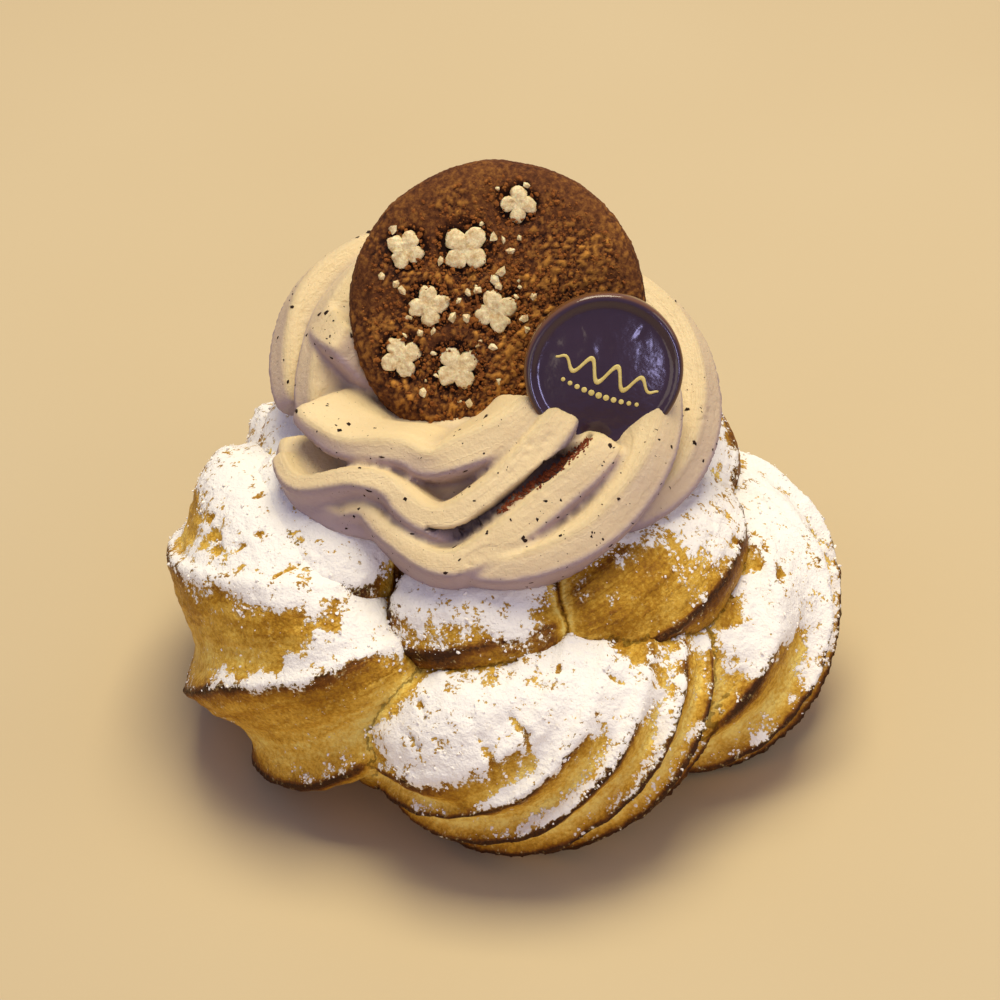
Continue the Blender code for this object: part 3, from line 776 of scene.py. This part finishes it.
def turnedForm(name, sides, wall, above, below):
    # a cylinder whose two ends are extruded and drawn in, row by row of (radius, height)
    radius, top, bottom = wall
    bpy.ops.mesh.primitive_cylinder_add(
        vertices=sides, radius=radius * mm, depth=(top - bottom) * mm,
        location=(0, 0, (top + bottom) / 2 * mm),
    )
    piece = bpy.context.object
    piece.name = name
    bpy.ops.object.transform_apply(location=True)
    bpy.ops.object.mode_set(mode="EDIT")
    bpy.ops.mesh.select_mode(type="FACE")
    for rows, start, way in ((above, top, 1), (below, bottom, -1)):
        bpy.ops.mesh.select_all(action="DESELECT")
        bpy.ops.object.mode_set(mode="OBJECT")
        for face in piece.data.polygons:
            face.select = face.normal.z * way > 0.9
        bpy.ops.object.mode_set(mode="EDIT")
        wide, high = radius, start
        for nextWide, nextHigh in rows:
            move = {"value": (0, 0, (nextHigh - high) * mm)}
            bpy.ops.mesh.extrude_region_move(TRANSFORM_OT_translate=move)
            shrink = nextWide / wide
            bpy.ops.transform.resize(value=(shrink, shrink, 1))
            wide, high = nextWide, nextHigh
    bpy.ops.object.mode_set(mode="OBJECT")
    return piece


def layInPlace(piece, settings):
    tip = Matrix.Rotation(math.radians(90 - settings["lean"]), 4, "X")
    swing = Matrix.Rotation(math.radians(settings["turn"]), 4, "Z")
    piece.data.transform(Matrix.Translation(Vector(settings["centre"]) * mm) @ swing @ tip)


def biscuitFace(radius):
    # height of the biscuit's domed face at that radius
    return biscuit["thickness"] / 2 - (radius / biscuit["radius"]) ** 2


def makeBiscuit():
    radius, half = biscuit["radius"], biscuit["thickness"] / 2
    above = [(radius * 0.985, half - 3.0), (radius * 0.95, half - 2.1), (radius * 0.9, half - 1.45)]
    above += [(radius * k, half - k**2) for k in (0.84, 0.75, 0.6, 0.45, 0.3, 0.15, 0.02)]
    below = [(radius * 0.975, -half + 0.3)] + [(radius * k, -half) for k in (0.95, 0.5, 0.02)]
    round_ = turnedForm("cocoaBiscuit", 120, (radius, half - 4.2, -half + 1.0), above, below)
    applyModifier(round_, "REMESH", mode="VOXEL", voxel_size=biscuit["voxel"] * mm, use_smooth_shade=True)
    points, normals = readPoints(round_), readNormals(round_)
    spread = np.hypot(points[:, 0], points[:, 1])
    # the rim and its upper shoulder are smoother; the middle is thick with crumb, and hollow round the icing
    crumby = smoothStep(-0.4, 0.3, noiseAt(points, 7.0, 2) + 0.2 - 0.03 * points[:, 1])
    crumby *= 1 - 0.6 * smoothStep(16.5, 20.0, spread + 2.0 * noiseAt(points, 6.0, 12))
    crumby[points[:, 2] < 0] *= 0.5
    bits = np.abs(noiseAt(points, 1.1, 6)) * 1.2 + 0.8 * np.abs(noiseAt(points, 0.65, 16))
    gap = blossomGap(points[:, 0], points[:, 1])
    hollow = (1 - smoothStep(0.9, 1.45, gap + 0.25 * noiseAt(points, 1.8, 35))) * (points[:, 2] > 0)
    relief = biscuit["crumbHeight"] * (0.35 + crumby) * (bits - 0.35) + 0.22 * noiseAt(points, 5.5, 26)
    relief -= 0.75 * hollow
    writePoints(round_, points + normals * relief[:, None])
    storeValues(round_, "crumby", crumby)
    storeValues(round_, "bits", bits)
    storeValues(round_, "hollow", hollow)
    return round_


def makeBlossoms():
    blossoms = []
    for number, (reach, angle, scale, turn) in enumerate(biscuit["blossoms"]):
        bpy.ops.mesh.primitive_uv_sphere_add(segments=64, ring_count=28, radius=mm)
        blossom = bpy.context.object
        ball = readPoints(blossom)
        way = np.arctan2(ball[:, 1], ball[:, 0])
        flat = np.hypot(ball[:, 0], ball[:, 1]) ** 0.7
        petal = np.abs(np.cos(biscuit["petals"] * way / 2)) ** 0.7
        wide = biscuit["blossomSize"] * scale * (1 - biscuit["notch"] + biscuit["notch"] * petal) * flat
        dip = 0.2 * np.exp(-(flat / 0.3) ** 2)
        tall = rounded(ball[:, 2], 0.6) * 0.55
        points = np.stack([wide * np.cos(way), wide * np.sin(way), tall - dip], axis=1)
        rough = 0.42 * noiseAt(points, 1.4, number) + 0.2 * noiseAt(points, 0.5, number)
        points += unit(points) * rough[:, None]
        writePoints(blossom, points)
        spot = Vector(onPlan(angle, reach, biscuitFace(reach) - 0.2)) * mm
        blossom.data.transform(Matrix.Translation(spot) @ Matrix.Rotation(math.radians(turn), 4, "Z"))
        blossoms.append(blossom)
    icing = joinPieces("icingBlossoms", blossoms)
    makeActive(icing)
    bpy.ops.object.shade_smooth()
    return icing


def faceSpots(chance, count, spread, near, far):
    # points on the biscuit's face, no nearer to a blossom than near and no further than far
    spots = []
    while len(spots) < count:
        x, y = chance.normal(0, spread, 2)
        reach = math.hypot(x, y)
        if reach < biscuit["radius"] * 0.9 and near < blossomGap(x, y) < far:
            spots.append((x, y, biscuitFace(reach)))
    return np.array(spots)


def makeCrumbs():
    chance = np.random.default_rng(3)
    up = np.array([[0.0, 0.0, 1.0]])
    spots = faceSpots(chance, biscuit["looseCrumbs"], 10.5, 0.8, 9.0)
    crumbs = scatter("biscuitCrumbs", spots, np.repeat(up, len(spots), axis=0),
                     0.09 + 0.3 * chance.random(len(spots)) ** 2.5, flat=0.8)
    spots = faceSpots(chance, biscuit["nibs"], 9.5, 0.95, 1.9)
    nibs = scatter("icingNibs", spots, np.repeat(up, len(spots), axis=0),
                   0.3 + 0.55 * chance.random(len(spots)) ** 1.5, flat=0.8)
    return crumbs, nibs


# ---- chocolate disc

disc = {
    "radius": 11.3,
    "thickness": 2.4,
    "dimple": 0.1,  # depth of the shallow dents in its face
    "centre": (14.6, -9.6, 63.4),
    "lean": 21.0,
    "turn": 5.0,
    "ornamentTilt": -23.0,
    "waveLength": 3.9,
    "waveHeight": 1.5,
    "waveHalf": 7.8,  # half the length of the gilded line
    "line": 0.8,  # its width
    "dots": 11,
    "dotSize": 0.48,
    "dotSpan": 5.6,  # from the middle dot to the last
    "dotDrop": 3.3,  # how far the row of dots lies below the line
}


def discFace(radius):
    # height of the disc's slightly domed face at that radius
    share = np.minimum(radius / (disc["radius"] * 0.83), 1)
    return disc["thickness"] / 2 - 0.4 + 0.34 * (1 - share**2)


def makeDisc():
    radius, half = disc["radius"], disc["thickness"] / 2
    above = [(radius * 0.998, half - 0.55), (radius * 0.985, half - 0.28), (radius * 0.965, half - 0.1)]
    above += [(radius * 0.94, half), (radius * 0.915, half - 0.02), (radius * 0.89, half - 0.12)]
    above += [(radius * 0.865, half - 0.26)]
    above += [(radius * k, float(discFace(radius * k))) for k in (0.83, 0.7, 0.55, 0.4, 0.25, 0.1, 0.02)]
    below = [(radius * 0.99, -half + 0.2)] + [(radius * k, -half) for k in (0.96, 0.5, 0.02)]
    chocolate = turnedForm("chocolateDisc", 160, (radius, half - 0.8, -half + 0.5), above, below)
    applyModifier(chocolate, "SUBSURF", levels=1, render_levels=1)
    points = readPoints(chocolate)
    spread = np.hypot(points[:, 0], points[:, 1]) / radius
    storeValues(chocolate, "rim", smoothStep(0.955, 0.99, spread))
    dimples = smoothStep(0.1, 0.6, noiseAt(points, 2.4, 4)) * (1 - smoothStep(0.7, 0.82, spread))
    dimples *= (points[:, 2] > 0) * smoothStep(-2, 6, points[:, 1])
    writePoints(chocolate, points - readNormals(chocolate) * (disc["dimple"] * dimples)[:, None])
    makeActive(chocolate)
    bpy.ops.object.shade_smooth()
    return chocolate


def gildDisc():
    # a plain gilded scroll line with a row of dots under it, printed on the disc's face
    half, tilt = disc["waveHalf"], math.radians(disc["ornamentTilt"])
    bpy.ops.mesh.primitive_grid_add(x_subdivisions=160, y_subdivisions=3, size=2 * mm)
    line = bpy.context.object
    grid = readPoints(line)
    x = grid[:, 0] * half
    fade = 1 - np.abs(grid[:, 0]) ** 3
    turns = 2 * math.pi / disc["waveLength"]
    wave = disc["waveHeight"] * fade * np.sin(turns * x)
    steep = turns * disc["waveHeight"] * np.cos(turns * x) * fade
    swell = disc["line"] * (0.35 + 0.65 / np.sqrt(1 + steep**2)) * (0.35 + 0.65 * fade)
    across = grid[:, 1] * swell / 2
    tangent = np.stack([np.ones_like(x), steep], axis=1) / np.sqrt(1 + steep**2)[:, None]
    plan = np.stack([x - tangent[:, 1] * across, wave + tangent[:, 0] * across], axis=1)
    lift = 0.07 * (1 - 0.9 * np.abs(grid[:, 1]))
    writePoints(line, np.column_stack([plan, lift]))
    applyModifier(line, "SOLIDIFY", thickness=0.08 * mm, offset=-1)
    pieces = [line]
    for number in range(disc["dots"]):
        share = 2 * number / (disc["dots"] - 1) - 1
        bpy.ops.mesh.primitive_uv_sphere_add(segments=16, ring_count=8, radius=mm)
        dot = bpy.context.object
        size = disc["dotSize"] * (1 - 0.35 * abs(share))
        middle = np.array([share * disc["dotSpan"], -disc["dotDrop"] + 0.5 * share**2, 0])
        writePoints(dot, readPoints(dot) * np.array([size, size, 0.09]) + middle)
        pieces.append(dot)
    gilt = joinPieces("giltScroll", pieces)
    points = readPoints(gilt)
    turn = np.array([[math.cos(tilt), math.sin(tilt)], [-math.sin(tilt), math.cos(tilt)]])
    plan = points[:, :2] @ turn + np.array([0.4, -0.4])
    height = points[:, 2] + discFace(np.hypot(plan[:, 0], plan[:, 1])) + 0.01
    writePoints(gilt, np.column_stack([plan, height]))
    makeActive(gilt)
    bpy.ops.object.shade_smooth()
    return gilt


# ---- finishes

def colourRamp(tree, value, stops):
    node = addNode(tree, "ValToRGB", {"Fac": value})
    while len(node.color_ramp.elements) < len(stops):
        node.color_ramp.elements.new(0.5)
    for stop, (at, colour) in zip(node.color_ramp.elements, stops):
        stop.position = at
        stop.color = linearColour(colour)
    return node.outputs[0]


def readStored(tree, *names):
    return [addNode(tree, "Attribute", attribute_name=name).outputs["Fac"] for name in names]


def wayOf(tree):
    # where a point lies on its piped form, so that a pattern can run along the form
    return addNode(tree, "CombineXYZ", dict(enumerate(readStored(tree, *wayNames)))).outputs[0]


def squeezed(tree, wide, long):
    # those places scaled for a grain of that many mm across the form and along it
    scale = (1 / wide, 1 / wide, 1 / long)
    return addNode(tree, "Mapping", {"Vector": wayOf(tree), "Scale": scale}).outputs[0]


def bakedCrust():
    # choux crust: egg dough baked golden, dry and finely blistered, browner on its ridges; paler in its
    # hollows and darker at its foot, both partly painted light and shade, with painted shade down in its
    # joints;
    # icing sugar: a matt white powder that lies on what looks up and breaks into ragged edges
    material, tree, shader, place = newMaterial("bakedChouxCrust")
    ridge, sugar, crease = readStored(tree, "ridge", "sugar", "crease")
    streak = addNode(tree, "TexNoise", {"Vector": squeezed(tree, 1.0, 6.0), "Scale": 1.0, "Detail": 4.0,
                                        "Roughness": 0.6}).outputs["Fac"]
    mottle, speck, fine, flake, skin = (
        addNode(tree, "TexNoise", {"Vector": place, "Scale": perMetre(size), "Detail": detail,
                                   "Roughness": rough}).outputs["Fac"]
        for size, detail, rough in ((4.5, 6.0, 0.7), (0.55, 3.0, 0.6), (1.7, 6.0, 0.68), (0.45, 2.0, 0.5),
                                    (1.2, 5.0, 0.65))
    )
    heightUp = addNode(tree, "SeparateXYZ", {0: place}).outputs["Z"]
    # paler in the hollows: partly the crust's own less-baked gold, partly painted light that lifts the
    # hollows out of their shade
    tone = addNode(tree, "MapRange", {"Value": crease, "From Min": -0.8, "From Max": 0.55,
                                      "To Min": 0.26, "To Max": -0.5}).outputs[0]
    for value, share in ((mottle, 0.8), (streak, 0.6), (speck, 0.7)):
        tone = addNode(tree, "Math", {0: value, 1: share, 2: tone}, operation="MULTIPLY_ADD").outputs[0]
    # browner on the flutes' edges, where the crust baked most; darker at the foot, partly baked browner and
    # partly painted shade; and painted shade down in the joints
    for value, low, high, start, end in (
        (ridge, 0.3, 0.75, 0.0, 0.42), (heightUp, 0.0, 9 * mm, 0.22, 0.0), (crease, 0.75, 1.5, 0.0, 0.95),
    ):
        bakedBrownAndShade = addNode(tree, "MapRange", {"Value": value, "From Min": low, "From Max": high,
                                             "To Min": start, "To Max": end})
        tone = addNode(tree, "Math", {0: tone, 1: bakedBrownAndShade.outputs[0]}, operation="ADD").outputs[0]
    tone = addNode(tree, "MapRange", {"Value": tone, "From Min": 0.45, "From Max": 1.68})
    crust = colourRamp(tree, tone.outputs[0], (
        (0.0, "#f6da70"), (0.22, "#deb040"), (0.42, "#b4821c"), (0.68, "#7c4a0c"), (1.0, "#3e2004")))

    ragged = sugar
    for value, share in ((fine, 2.4), (flake, 1.1)):
        ragged = addNode(tree, "Math", {0: value, 1: share, 2: ragged}, operation="MULTIPLY_ADD").outputs[0]
    cover = addNode(tree, "MapRange", {"Value": ragged, "From Min": 2.18, "From Max": 2.28},
                    interpolation_type="SMOOTHSTEP").outputs[0]
    thin = addNode(tree, "MapRange", {"Value": ragged, "From Min": 1.98, "From Max": 2.2, "To Max": 0.4})
    haze = addNode(tree, "MixRGB", {"Fac": thin.outputs[0], "Color1": crust, "Color2": "#e9cd7c"})
    colour = addNode(tree, "MixRGB", {"Fac": cover, "Color1": haze.outputs[0], "Color2": "#f8f2e0"})
    rough = addNode(tree, "MapRange", {"Value": cover, "To Min": 0.5, "To Max": 0.95})
    tree.links.new(colour.outputs[0], shader.inputs["Base Color"])
    tree.links.new(rough.outputs[0], shader.inputs["Roughness"])
    uncovered = addNode(tree, "MapRange", {"Value": cover, "To Min": 1.3, "To Max": 0.0}).outputs[0]
    height = skin
    for value, share in ((cover, 0.8), (flake, 0.4), (streak, uncovered)):
        height = addNode(tree, "Math", {0: value, 1: share, 2: height}, operation="MULTIPLY_ADD").outputs[0]
    bump = addNode(tree, "Bump", {"Height": height, "Strength": 0.9, "Distance": 0.42 * mm})
    tree.links.new(bump.outputs[0], shader.inputs["Normal"])
    shader.inputs["IOR"].default_value = 1.45
    shader.inputs["Specular IOR Level"].default_value = 0.18
    return material


def powderedSugar():
    # icing sugar clumps: crushed crystals, so they scatter white and never shine
    material, tree, shader, place = newMaterial("icingSugar")
    tone = addNode(tree, "TexNoise", {"Vector": place, "Scale": perMetre(0.8), "Detail": 2.0})
    colour = addNode(tree, "MixRGB", {"Fac": tone.outputs["Fac"], "Color1": "#efe8d4", "Color2": "#faf5e8"})
    tree.links.new(colour.outputs[0], shader.inputs["Base Color"])
    shader.inputs["Roughness"].default_value = 0.95
    return material


def whippedCream():
    # whipped coffee cream: fat and air, so it is soft and slightly waxy, with fine grounds and drag lines,
    # and painted shade on its sides and in its hollows
    material, tree, shader, place = newMaterial("whippedCoffeeCream")
    slit, paintedHollowShade, topside, dragged = readStored(tree, "slit", "paintedHollowShade", "topside", "dragged")
    tone = addNode(tree, "TexNoise", {"Vector": place, "Scale": perMetre(9.0), "Detail": 3.0})
    colour = addNode(tree, "MixRGB", {"Fac": tone.outputs["Fac"], "Color1": "#dac08a", "Color2": "#e8d09a"})
    # painted shade: sides turned from the sky get a lilac-grey shaded copy of the cream colour, tops keep the
    # lit colour
    sides = addNode(tree, "MixRGB", {"Fac": topside, "Color1": "#aa9490", "Color2": colour.outputs[0]})
    # painted shade: the hollows between the straps darkened towards grey-brown
    hollow = addNode(tree, "Math", {0: paintedHollowShade, 1: 0.7}, operation="MULTIPLY").outputs[0]
    colour = addNode(tree, "MixRGB", {"Fac": hollow, "Color1": sides.outputs[0], "Color2": "#8f7a72"})
    cells = addNode(tree, "TexVoronoi", {"Vector": place, "Scale": perMetre(0.8)})
    pick = addNode(tree, "SeparateColor", {"Color": cells.outputs["Color"]}).outputs[0]
    size = addNode(tree, "MapRange", {"Value": pick, "From Min": 0.7, "From Max": 1.0, "To Max": 0.15})
    inside = addNode(tree, "Math", {0: size.outputs[0], 1: cells.outputs["Distance"]}, operation="SUBTRACT")
    dot = addNode(tree, "MapRange", {"Value": inside.outputs[0], "From Max": 0.05, "To Max": 0.8})
    speck = addNode(tree, "MixRGB", {"Fac": dot.outputs[0], "Color1": colour.outputs[0], "Color2": "#5b4030"})
    # darker in the slit: partly a cocoa stain, partly painted shade in the groove's depth
    slitStainAndShade = addNode(tree, "MixRGB", {"Fac": slit, "Color1": speck.outputs[0], "Color2": "#3a2420"})
    tree.links.new(slitStainAndShade.outputs[0], shader.inputs["Base Color"])
    drag = addNode(tree, "TexNoise", {"Vector": squeezed(tree, 0.42, 16.0), "Scale": 1.0, "Detail": 2.0})
    grain = addNode(tree, "TexNoise", {"Vector": place, "Scale": perMetre(0.6), "Detail": 4.0,
                                       "Roughness": 0.6}).outputs["Fac"]
    line = addNode(tree, "Math", {0: dragged, 1: drag.outputs["Fac"]}, operation="MULTIPLY")
    height = addNode(tree, "Math", {0: line.outputs[0], 1: 0.9, 2: grain}, operation="MULTIPLY_ADD")
    bump = addNode(tree, "Bump", {"Height": height.outputs[0], "Strength": 0.7, "Distance": 0.24 * mm})
    tree.links.new(bump.outputs[0], shader.inputs["Normal"])
    shader.inputs["Roughness"].default_value = 0.6
    shader.inputs["Subsurface Weight"].default_value = 0.08
    shader.inputs["Subsurface Radius"].default_value = (1.0, 0.6, 0.35)
    shader.inputs["Subsurface Scale"].default_value = 1.0 * mm
    return material


def cocoaCrumb(name, deep, plain, bright):
    # short cocoa biscuit: dry and open, dark in its gaps and orange-brown where crumbs catch the light, with
    # painted shade in the hollows round the icing
    material, tree, shader, place = newMaterial(name)
    crumb = addNode(tree, "TexNoise", {"Vector": place, "Scale": perMetre(0.8), "Detail": 5.0,
                                       "Roughness": 0.75}).outputs["Fac"]
    wide = addNode(tree, "TexNoise", {"Vector": place, "Scale": perMetre(7.0), "Detail": 2.0}).outputs["Fac"]
    bits, crumby, hollow = readStored(tree, "bits", "crumby", "hollow")
    rise = addNode(tree, "Math", {0: bits, 1: 0.95, 2: -0.33}, operation="MULTIPLY_ADD").outputs[0]
    tone = crumb
    # painted shade: darker in the hollows carved round the icing
    for value, share in ((rise, crumby), (wide, 0.3), (hollow, -0.25)):
        tone = addNode(tree, "Math", {0: value, 1: share, 2: tone}, operation="MULTIPLY_ADD").outputs[0]
    lit = addNode(tree, "MapRange", {"Value": tone, "From Min": 0.42, "From Max": 1.3}).outputs[0]
    colour = colourRamp(tree, lit, ((0.0, deep), (0.26, plain), (1.0, bright)))
    tree.links.new(colour, shader.inputs["Base Color"])
    bump = addNode(tree, "Bump", {"Height": crumb, "Strength": 0.8, "Distance": 0.25 * mm})
    tree.links.new(bump.outputs[0], shader.inputs["Normal"])
    shader.inputs["Roughness"].default_value = 0.85
    shader.inputs["Specular IOR Level"].default_value = 0.15
    return material


def pressedIcing():
    # white icing baked on the biscuit: grainy, a little see-through, yellowed by the oven
    material, tree, shader, place = newMaterial("bakedIcing")
    grain = addNode(tree, "TexNoise", {"Vector": place, "Scale": perMetre(0.9), "Detail": 5.0,
                                       "Roughness": 0.75}).outputs["Fac"]
    tone = addNode(tree, "MapRange", {"Value": grain, "From Min": 0.3, "From Max": 0.7})
    colour = addNode(tree, "MixRGB", {"Fac": tone.outputs[0], "Color1": "#b48a48", "Color2": "#fff2b8"})
    tree.links.new(colour.outputs[0], shader.inputs["Base Color"])
    bump = addNode(tree, "Bump", {"Height": grain, "Strength": 0.6, "Distance": 0.2 * mm})
    tree.links.new(bump.outputs[0], shader.inputs["Normal"])
    shader.inputs["Roughness"].default_value = 0.45
    shader.inputs["Subsurface Weight"].default_value = 0.15
    shader.inputs["Subsurface Scale"].default_value = 1.0 * mm
    return material


def temperedChocolate():
    # tempered dark chocolate cast on a printed sheet: near black and glossy with a violet cast,
    # browner at its cut rim
    material, tree, shader, place = newMaterial("temperedChocolate")
    tone = addNode(tree, "TexNoise", {"Vector": place, "Scale": perMetre(6.0), "Detail": 2.0})
    colour = addNode(tree, "MixRGB", {"Fac": tone.outputs["Fac"], "Color1": "#34222a", "Color2": "#402c36"})
    rim, = readStored(tree, "rim")
    edged = addNode(tree, "MixRGB", {"Fac": rim, "Color1": colour.outputs[0], "Color2": "#6a4628"})
    tree.links.new(edged.outputs[0], shader.inputs["Base Color"])
    wave = addNode(tree, "TexNoise", {"Vector": place, "Scale": perMetre(1.6), "Detail": 2.0})
    bump = addNode(tree, "Bump", {"Height": wave.outputs["Fac"], "Strength": 0.18, "Distance": 0.2 * mm})
    tree.links.new(bump.outputs[0], shader.inputs["Normal"])
    shader.inputs["Roughness"].default_value = 0.12
    shader.inputs["IOR"].default_value = 1.5
    return material


def giltPrint():
    # gold-coloured food print: a thin satin ink with the chocolate's tiny unevenness in it
    material, tree, shader, place = newMaterial("giltPrint")
    tone = addNode(tree, "TexNoise", {"Vector": place, "Scale": perMetre(0.8), "Detail": 3.0})
    colour = addNode(tree, "MixRGB", {"Fac": tone.outputs["Fac"], "Color1": "#cbb04a", "Color2": "#f6e58c"})
    tree.links.new(colour.outputs[0], shader.inputs["Base Color"])
    shader.inputs["Roughness"].default_value = 0.4
    return material


# ---- the making

def finishPiece(piece, material, slot, node=None):
    piece.data.materials.clear()
    piece.data.materials.append(material)
    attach(piece, "root")
    if node:
        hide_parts(node)


def boxMiddle(piece):
    points = readPoints(piece)
    return (points.min(axis=0) + points.max(axis=0)) / 2


chouxFlow = Flow()
base = pipeBase(chouxFlow)
crown = pipeCrown(chouxFlow)
print("choux piped", len(base.data.vertices), len(crown.data.vertices), "points")
chouxTrees = [treeOf(base), treeOf(crown)]
for tier in (base, crown):
    dressTier(tier, chouxFlow, chouxTrees)
baseSugar = looseSugar(base, "baseSugarGrains")
crownSugar = looseSugar(crown, "crownSugarGrains")
cutFlat(base, 0.0)
cutFlat(crown, choux["crownFoot"])
print("choux dusted")
swirl, creamFlow = pipeCream()
dragCream(swirl, creamFlow)
crumbsInSlit = slitCrumbs(swirl)
grounds = groundCoffee(swirl)
print("cream piped", len(swirl.data.vertices), "points")
cocoaBiscuit = makeBiscuit()
icing = makeBlossoms()
crumbs, nibs = makeCrumbs()
for piece in (cocoaBiscuit, icing, crumbs, nibs):
    layInPlace(piece, biscuit)
print("biscuit made", len(cocoaBiscuit.data.vertices), "points")
chocolate = makeDisc()
gilt = gildDisc()
for piece in (chocolate, gilt):
    layInPlace(piece, disc)
print("disc made")

# the frame's origin is under the middle of the outline, and the pastry's own axis stands a little off it
low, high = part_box("chocolate_disc")
axisShift = (np.array(low) + np.array(high)) / 2 / mm - boxMiddle(chocolate)
print("axis shift", axisShift.round(3).tolist())
crustFinish, sugarFinish, icingFinish = bakedCrust(), powderedSugar(), pressedIcing()
redCrumb = cocoaCrumb("cocoaCrumbRed", "#4a2014", "#7c3c20", "#c88048")
coffee = cocoaCrumb("groundCoffee", "#140d0a", "#2c1d15", "#5a4232")
biscuitCrumb = cocoaCrumb("cocoaBiscuitCrumb", "#281308", "#5e3518", "#c98a38")
looseCrumb = cocoaCrumb("cocoaCrumbLoose", "#44240e", "#844c1e", "#d2903c")
finished = (  # piece, material, slot and, where it stands in for one, the solid's node
    (base, crustFinish, "crust", "choux"),
    (crown, crustFinish, "crust", "choux"),
    (baseSugar, sugarFinish, "crust"),
    (crownSugar, sugarFinish, "crust"),
    (swirl, whippedCream(), "cream", "cream"),
    (crumbsInSlit, redCrumb, "cocoa_biscuit"),
    (grounds, coffee, "cocoa_biscuit"),
    (cocoaBiscuit, biscuitCrumb, "cocoa_biscuit", "biscuit"),
    (crumbs, looseCrumb, "cocoa_biscuit"),
    (icing, icingFinish, "cocoa_biscuit"),
    (nibs, icingFinish, "cocoa_biscuit"),
    (chocolate, temperedChocolate(), "dark_chocolate", "chocolate_disc"),
    (gilt, giltPrint(), "dark_chocolate"),
)
for piece, *finish in finished:
    finishPiece(piece, *finish)
    piece.data.transform(Matrix.Translation(Vector(axisShift) * mm))
print("finished", len(finished), "pieces")


# ---- studio

studio = {
    "elevation": 40.0,
    "distance": 800.0,
    "pictureScale": 0.15,  # mm for each pixel of a 1000 pixel picture
    "aimRise": 24.0,  # how far the picture's middle lies above the pastry's foot
    "floor": "#c4ad7e",
    "floorTone": "#cdb98c",
    "sky": "#bfc1f6",
    "skyStrength": 0.56,
    "lamps": (  # place in mm, size in mm, watts, colour
        ((20, 130, 690), 420, 5.2, "#fff6dc"),
        ((620, -200, 360), 300, 0.7, "#fff4dc"),
        ((350, -870, 150), 130, 0.8, "#c4bef8"),
        ((-220, -900, 90), 520, 1.3, "#ffeccc"),
    ),
}


def setStudio():
    scene = bpy.context.scene
    scene.view_settings.view_transform = "Standard"
    bpy.ops.mesh.primitive_plane_add(size=4)
    floor = bpy.context.object
    floor.name = "studioFloor"
    material, tree, shader, place = newMaterial("palePaper")
    tone = addNode(tree, "TexNoise", {"Vector": place, "Scale": perMetre(120)})
    colour = addNode(tree, "MixRGB", {"Fac": tone.outputs["Fac"], "Color1": studio["floor"],
                                      "Color2": studio["floorTone"]})
    tree.links.new(colour.outputs[0], shader.inputs["Base Color"])
    shader.inputs["Roughness"].default_value = 0.9
    floor.data.materials.append(material)

    world = bpy.data.worlds.new("softRoom")
    scene.world = world
    world.use_nodes = True
    background = world.node_tree.nodes["Background"]
    background.inputs["Color"].default_value = linearColour(studio["sky"])
    background.inputs["Strength"].default_value = studio["skyStrength"]
    aim = Vector(axisShift) * mm
    for place, size, watts, colour in studio["lamps"]:
        bpy.ops.object.light_add(type="AREA", location=Vector(place) * mm)
        lamp = bpy.context.object
        lamp.data.size = size * mm
        lamp.data.energy = watts
        lamp.data.color = linearColour(colour)[:3]
        lamp.rotation_euler = (aim + Vector((0, 0, 0.04)) - lamp.location).to_track_quat("-Z", "Y").to_euler()

    lift = math.radians(studio["elevation"])
    back = Vector((0, -math.cos(lift), math.sin(lift)))
    pictureUp = Vector((0, math.sin(lift), math.cos(lift)))
    target = aim + pictureUp * studio["aimRise"] * mm
    bpy.ops.object.camera_add(location=target + back * studio["distance"] * mm)
    camera = bpy.context.object
    camera.rotation_euler = (-back).to_track_quat("-Z", "Y").to_euler()
    camera.data.sensor_width = 36
    camera.data.lens = 36 * studio["distance"] / (1000 * studio["pictureScale"])
    camera.data.clip_start = 0.01
    scene.camera = camera


setStudio()
print("studio set")
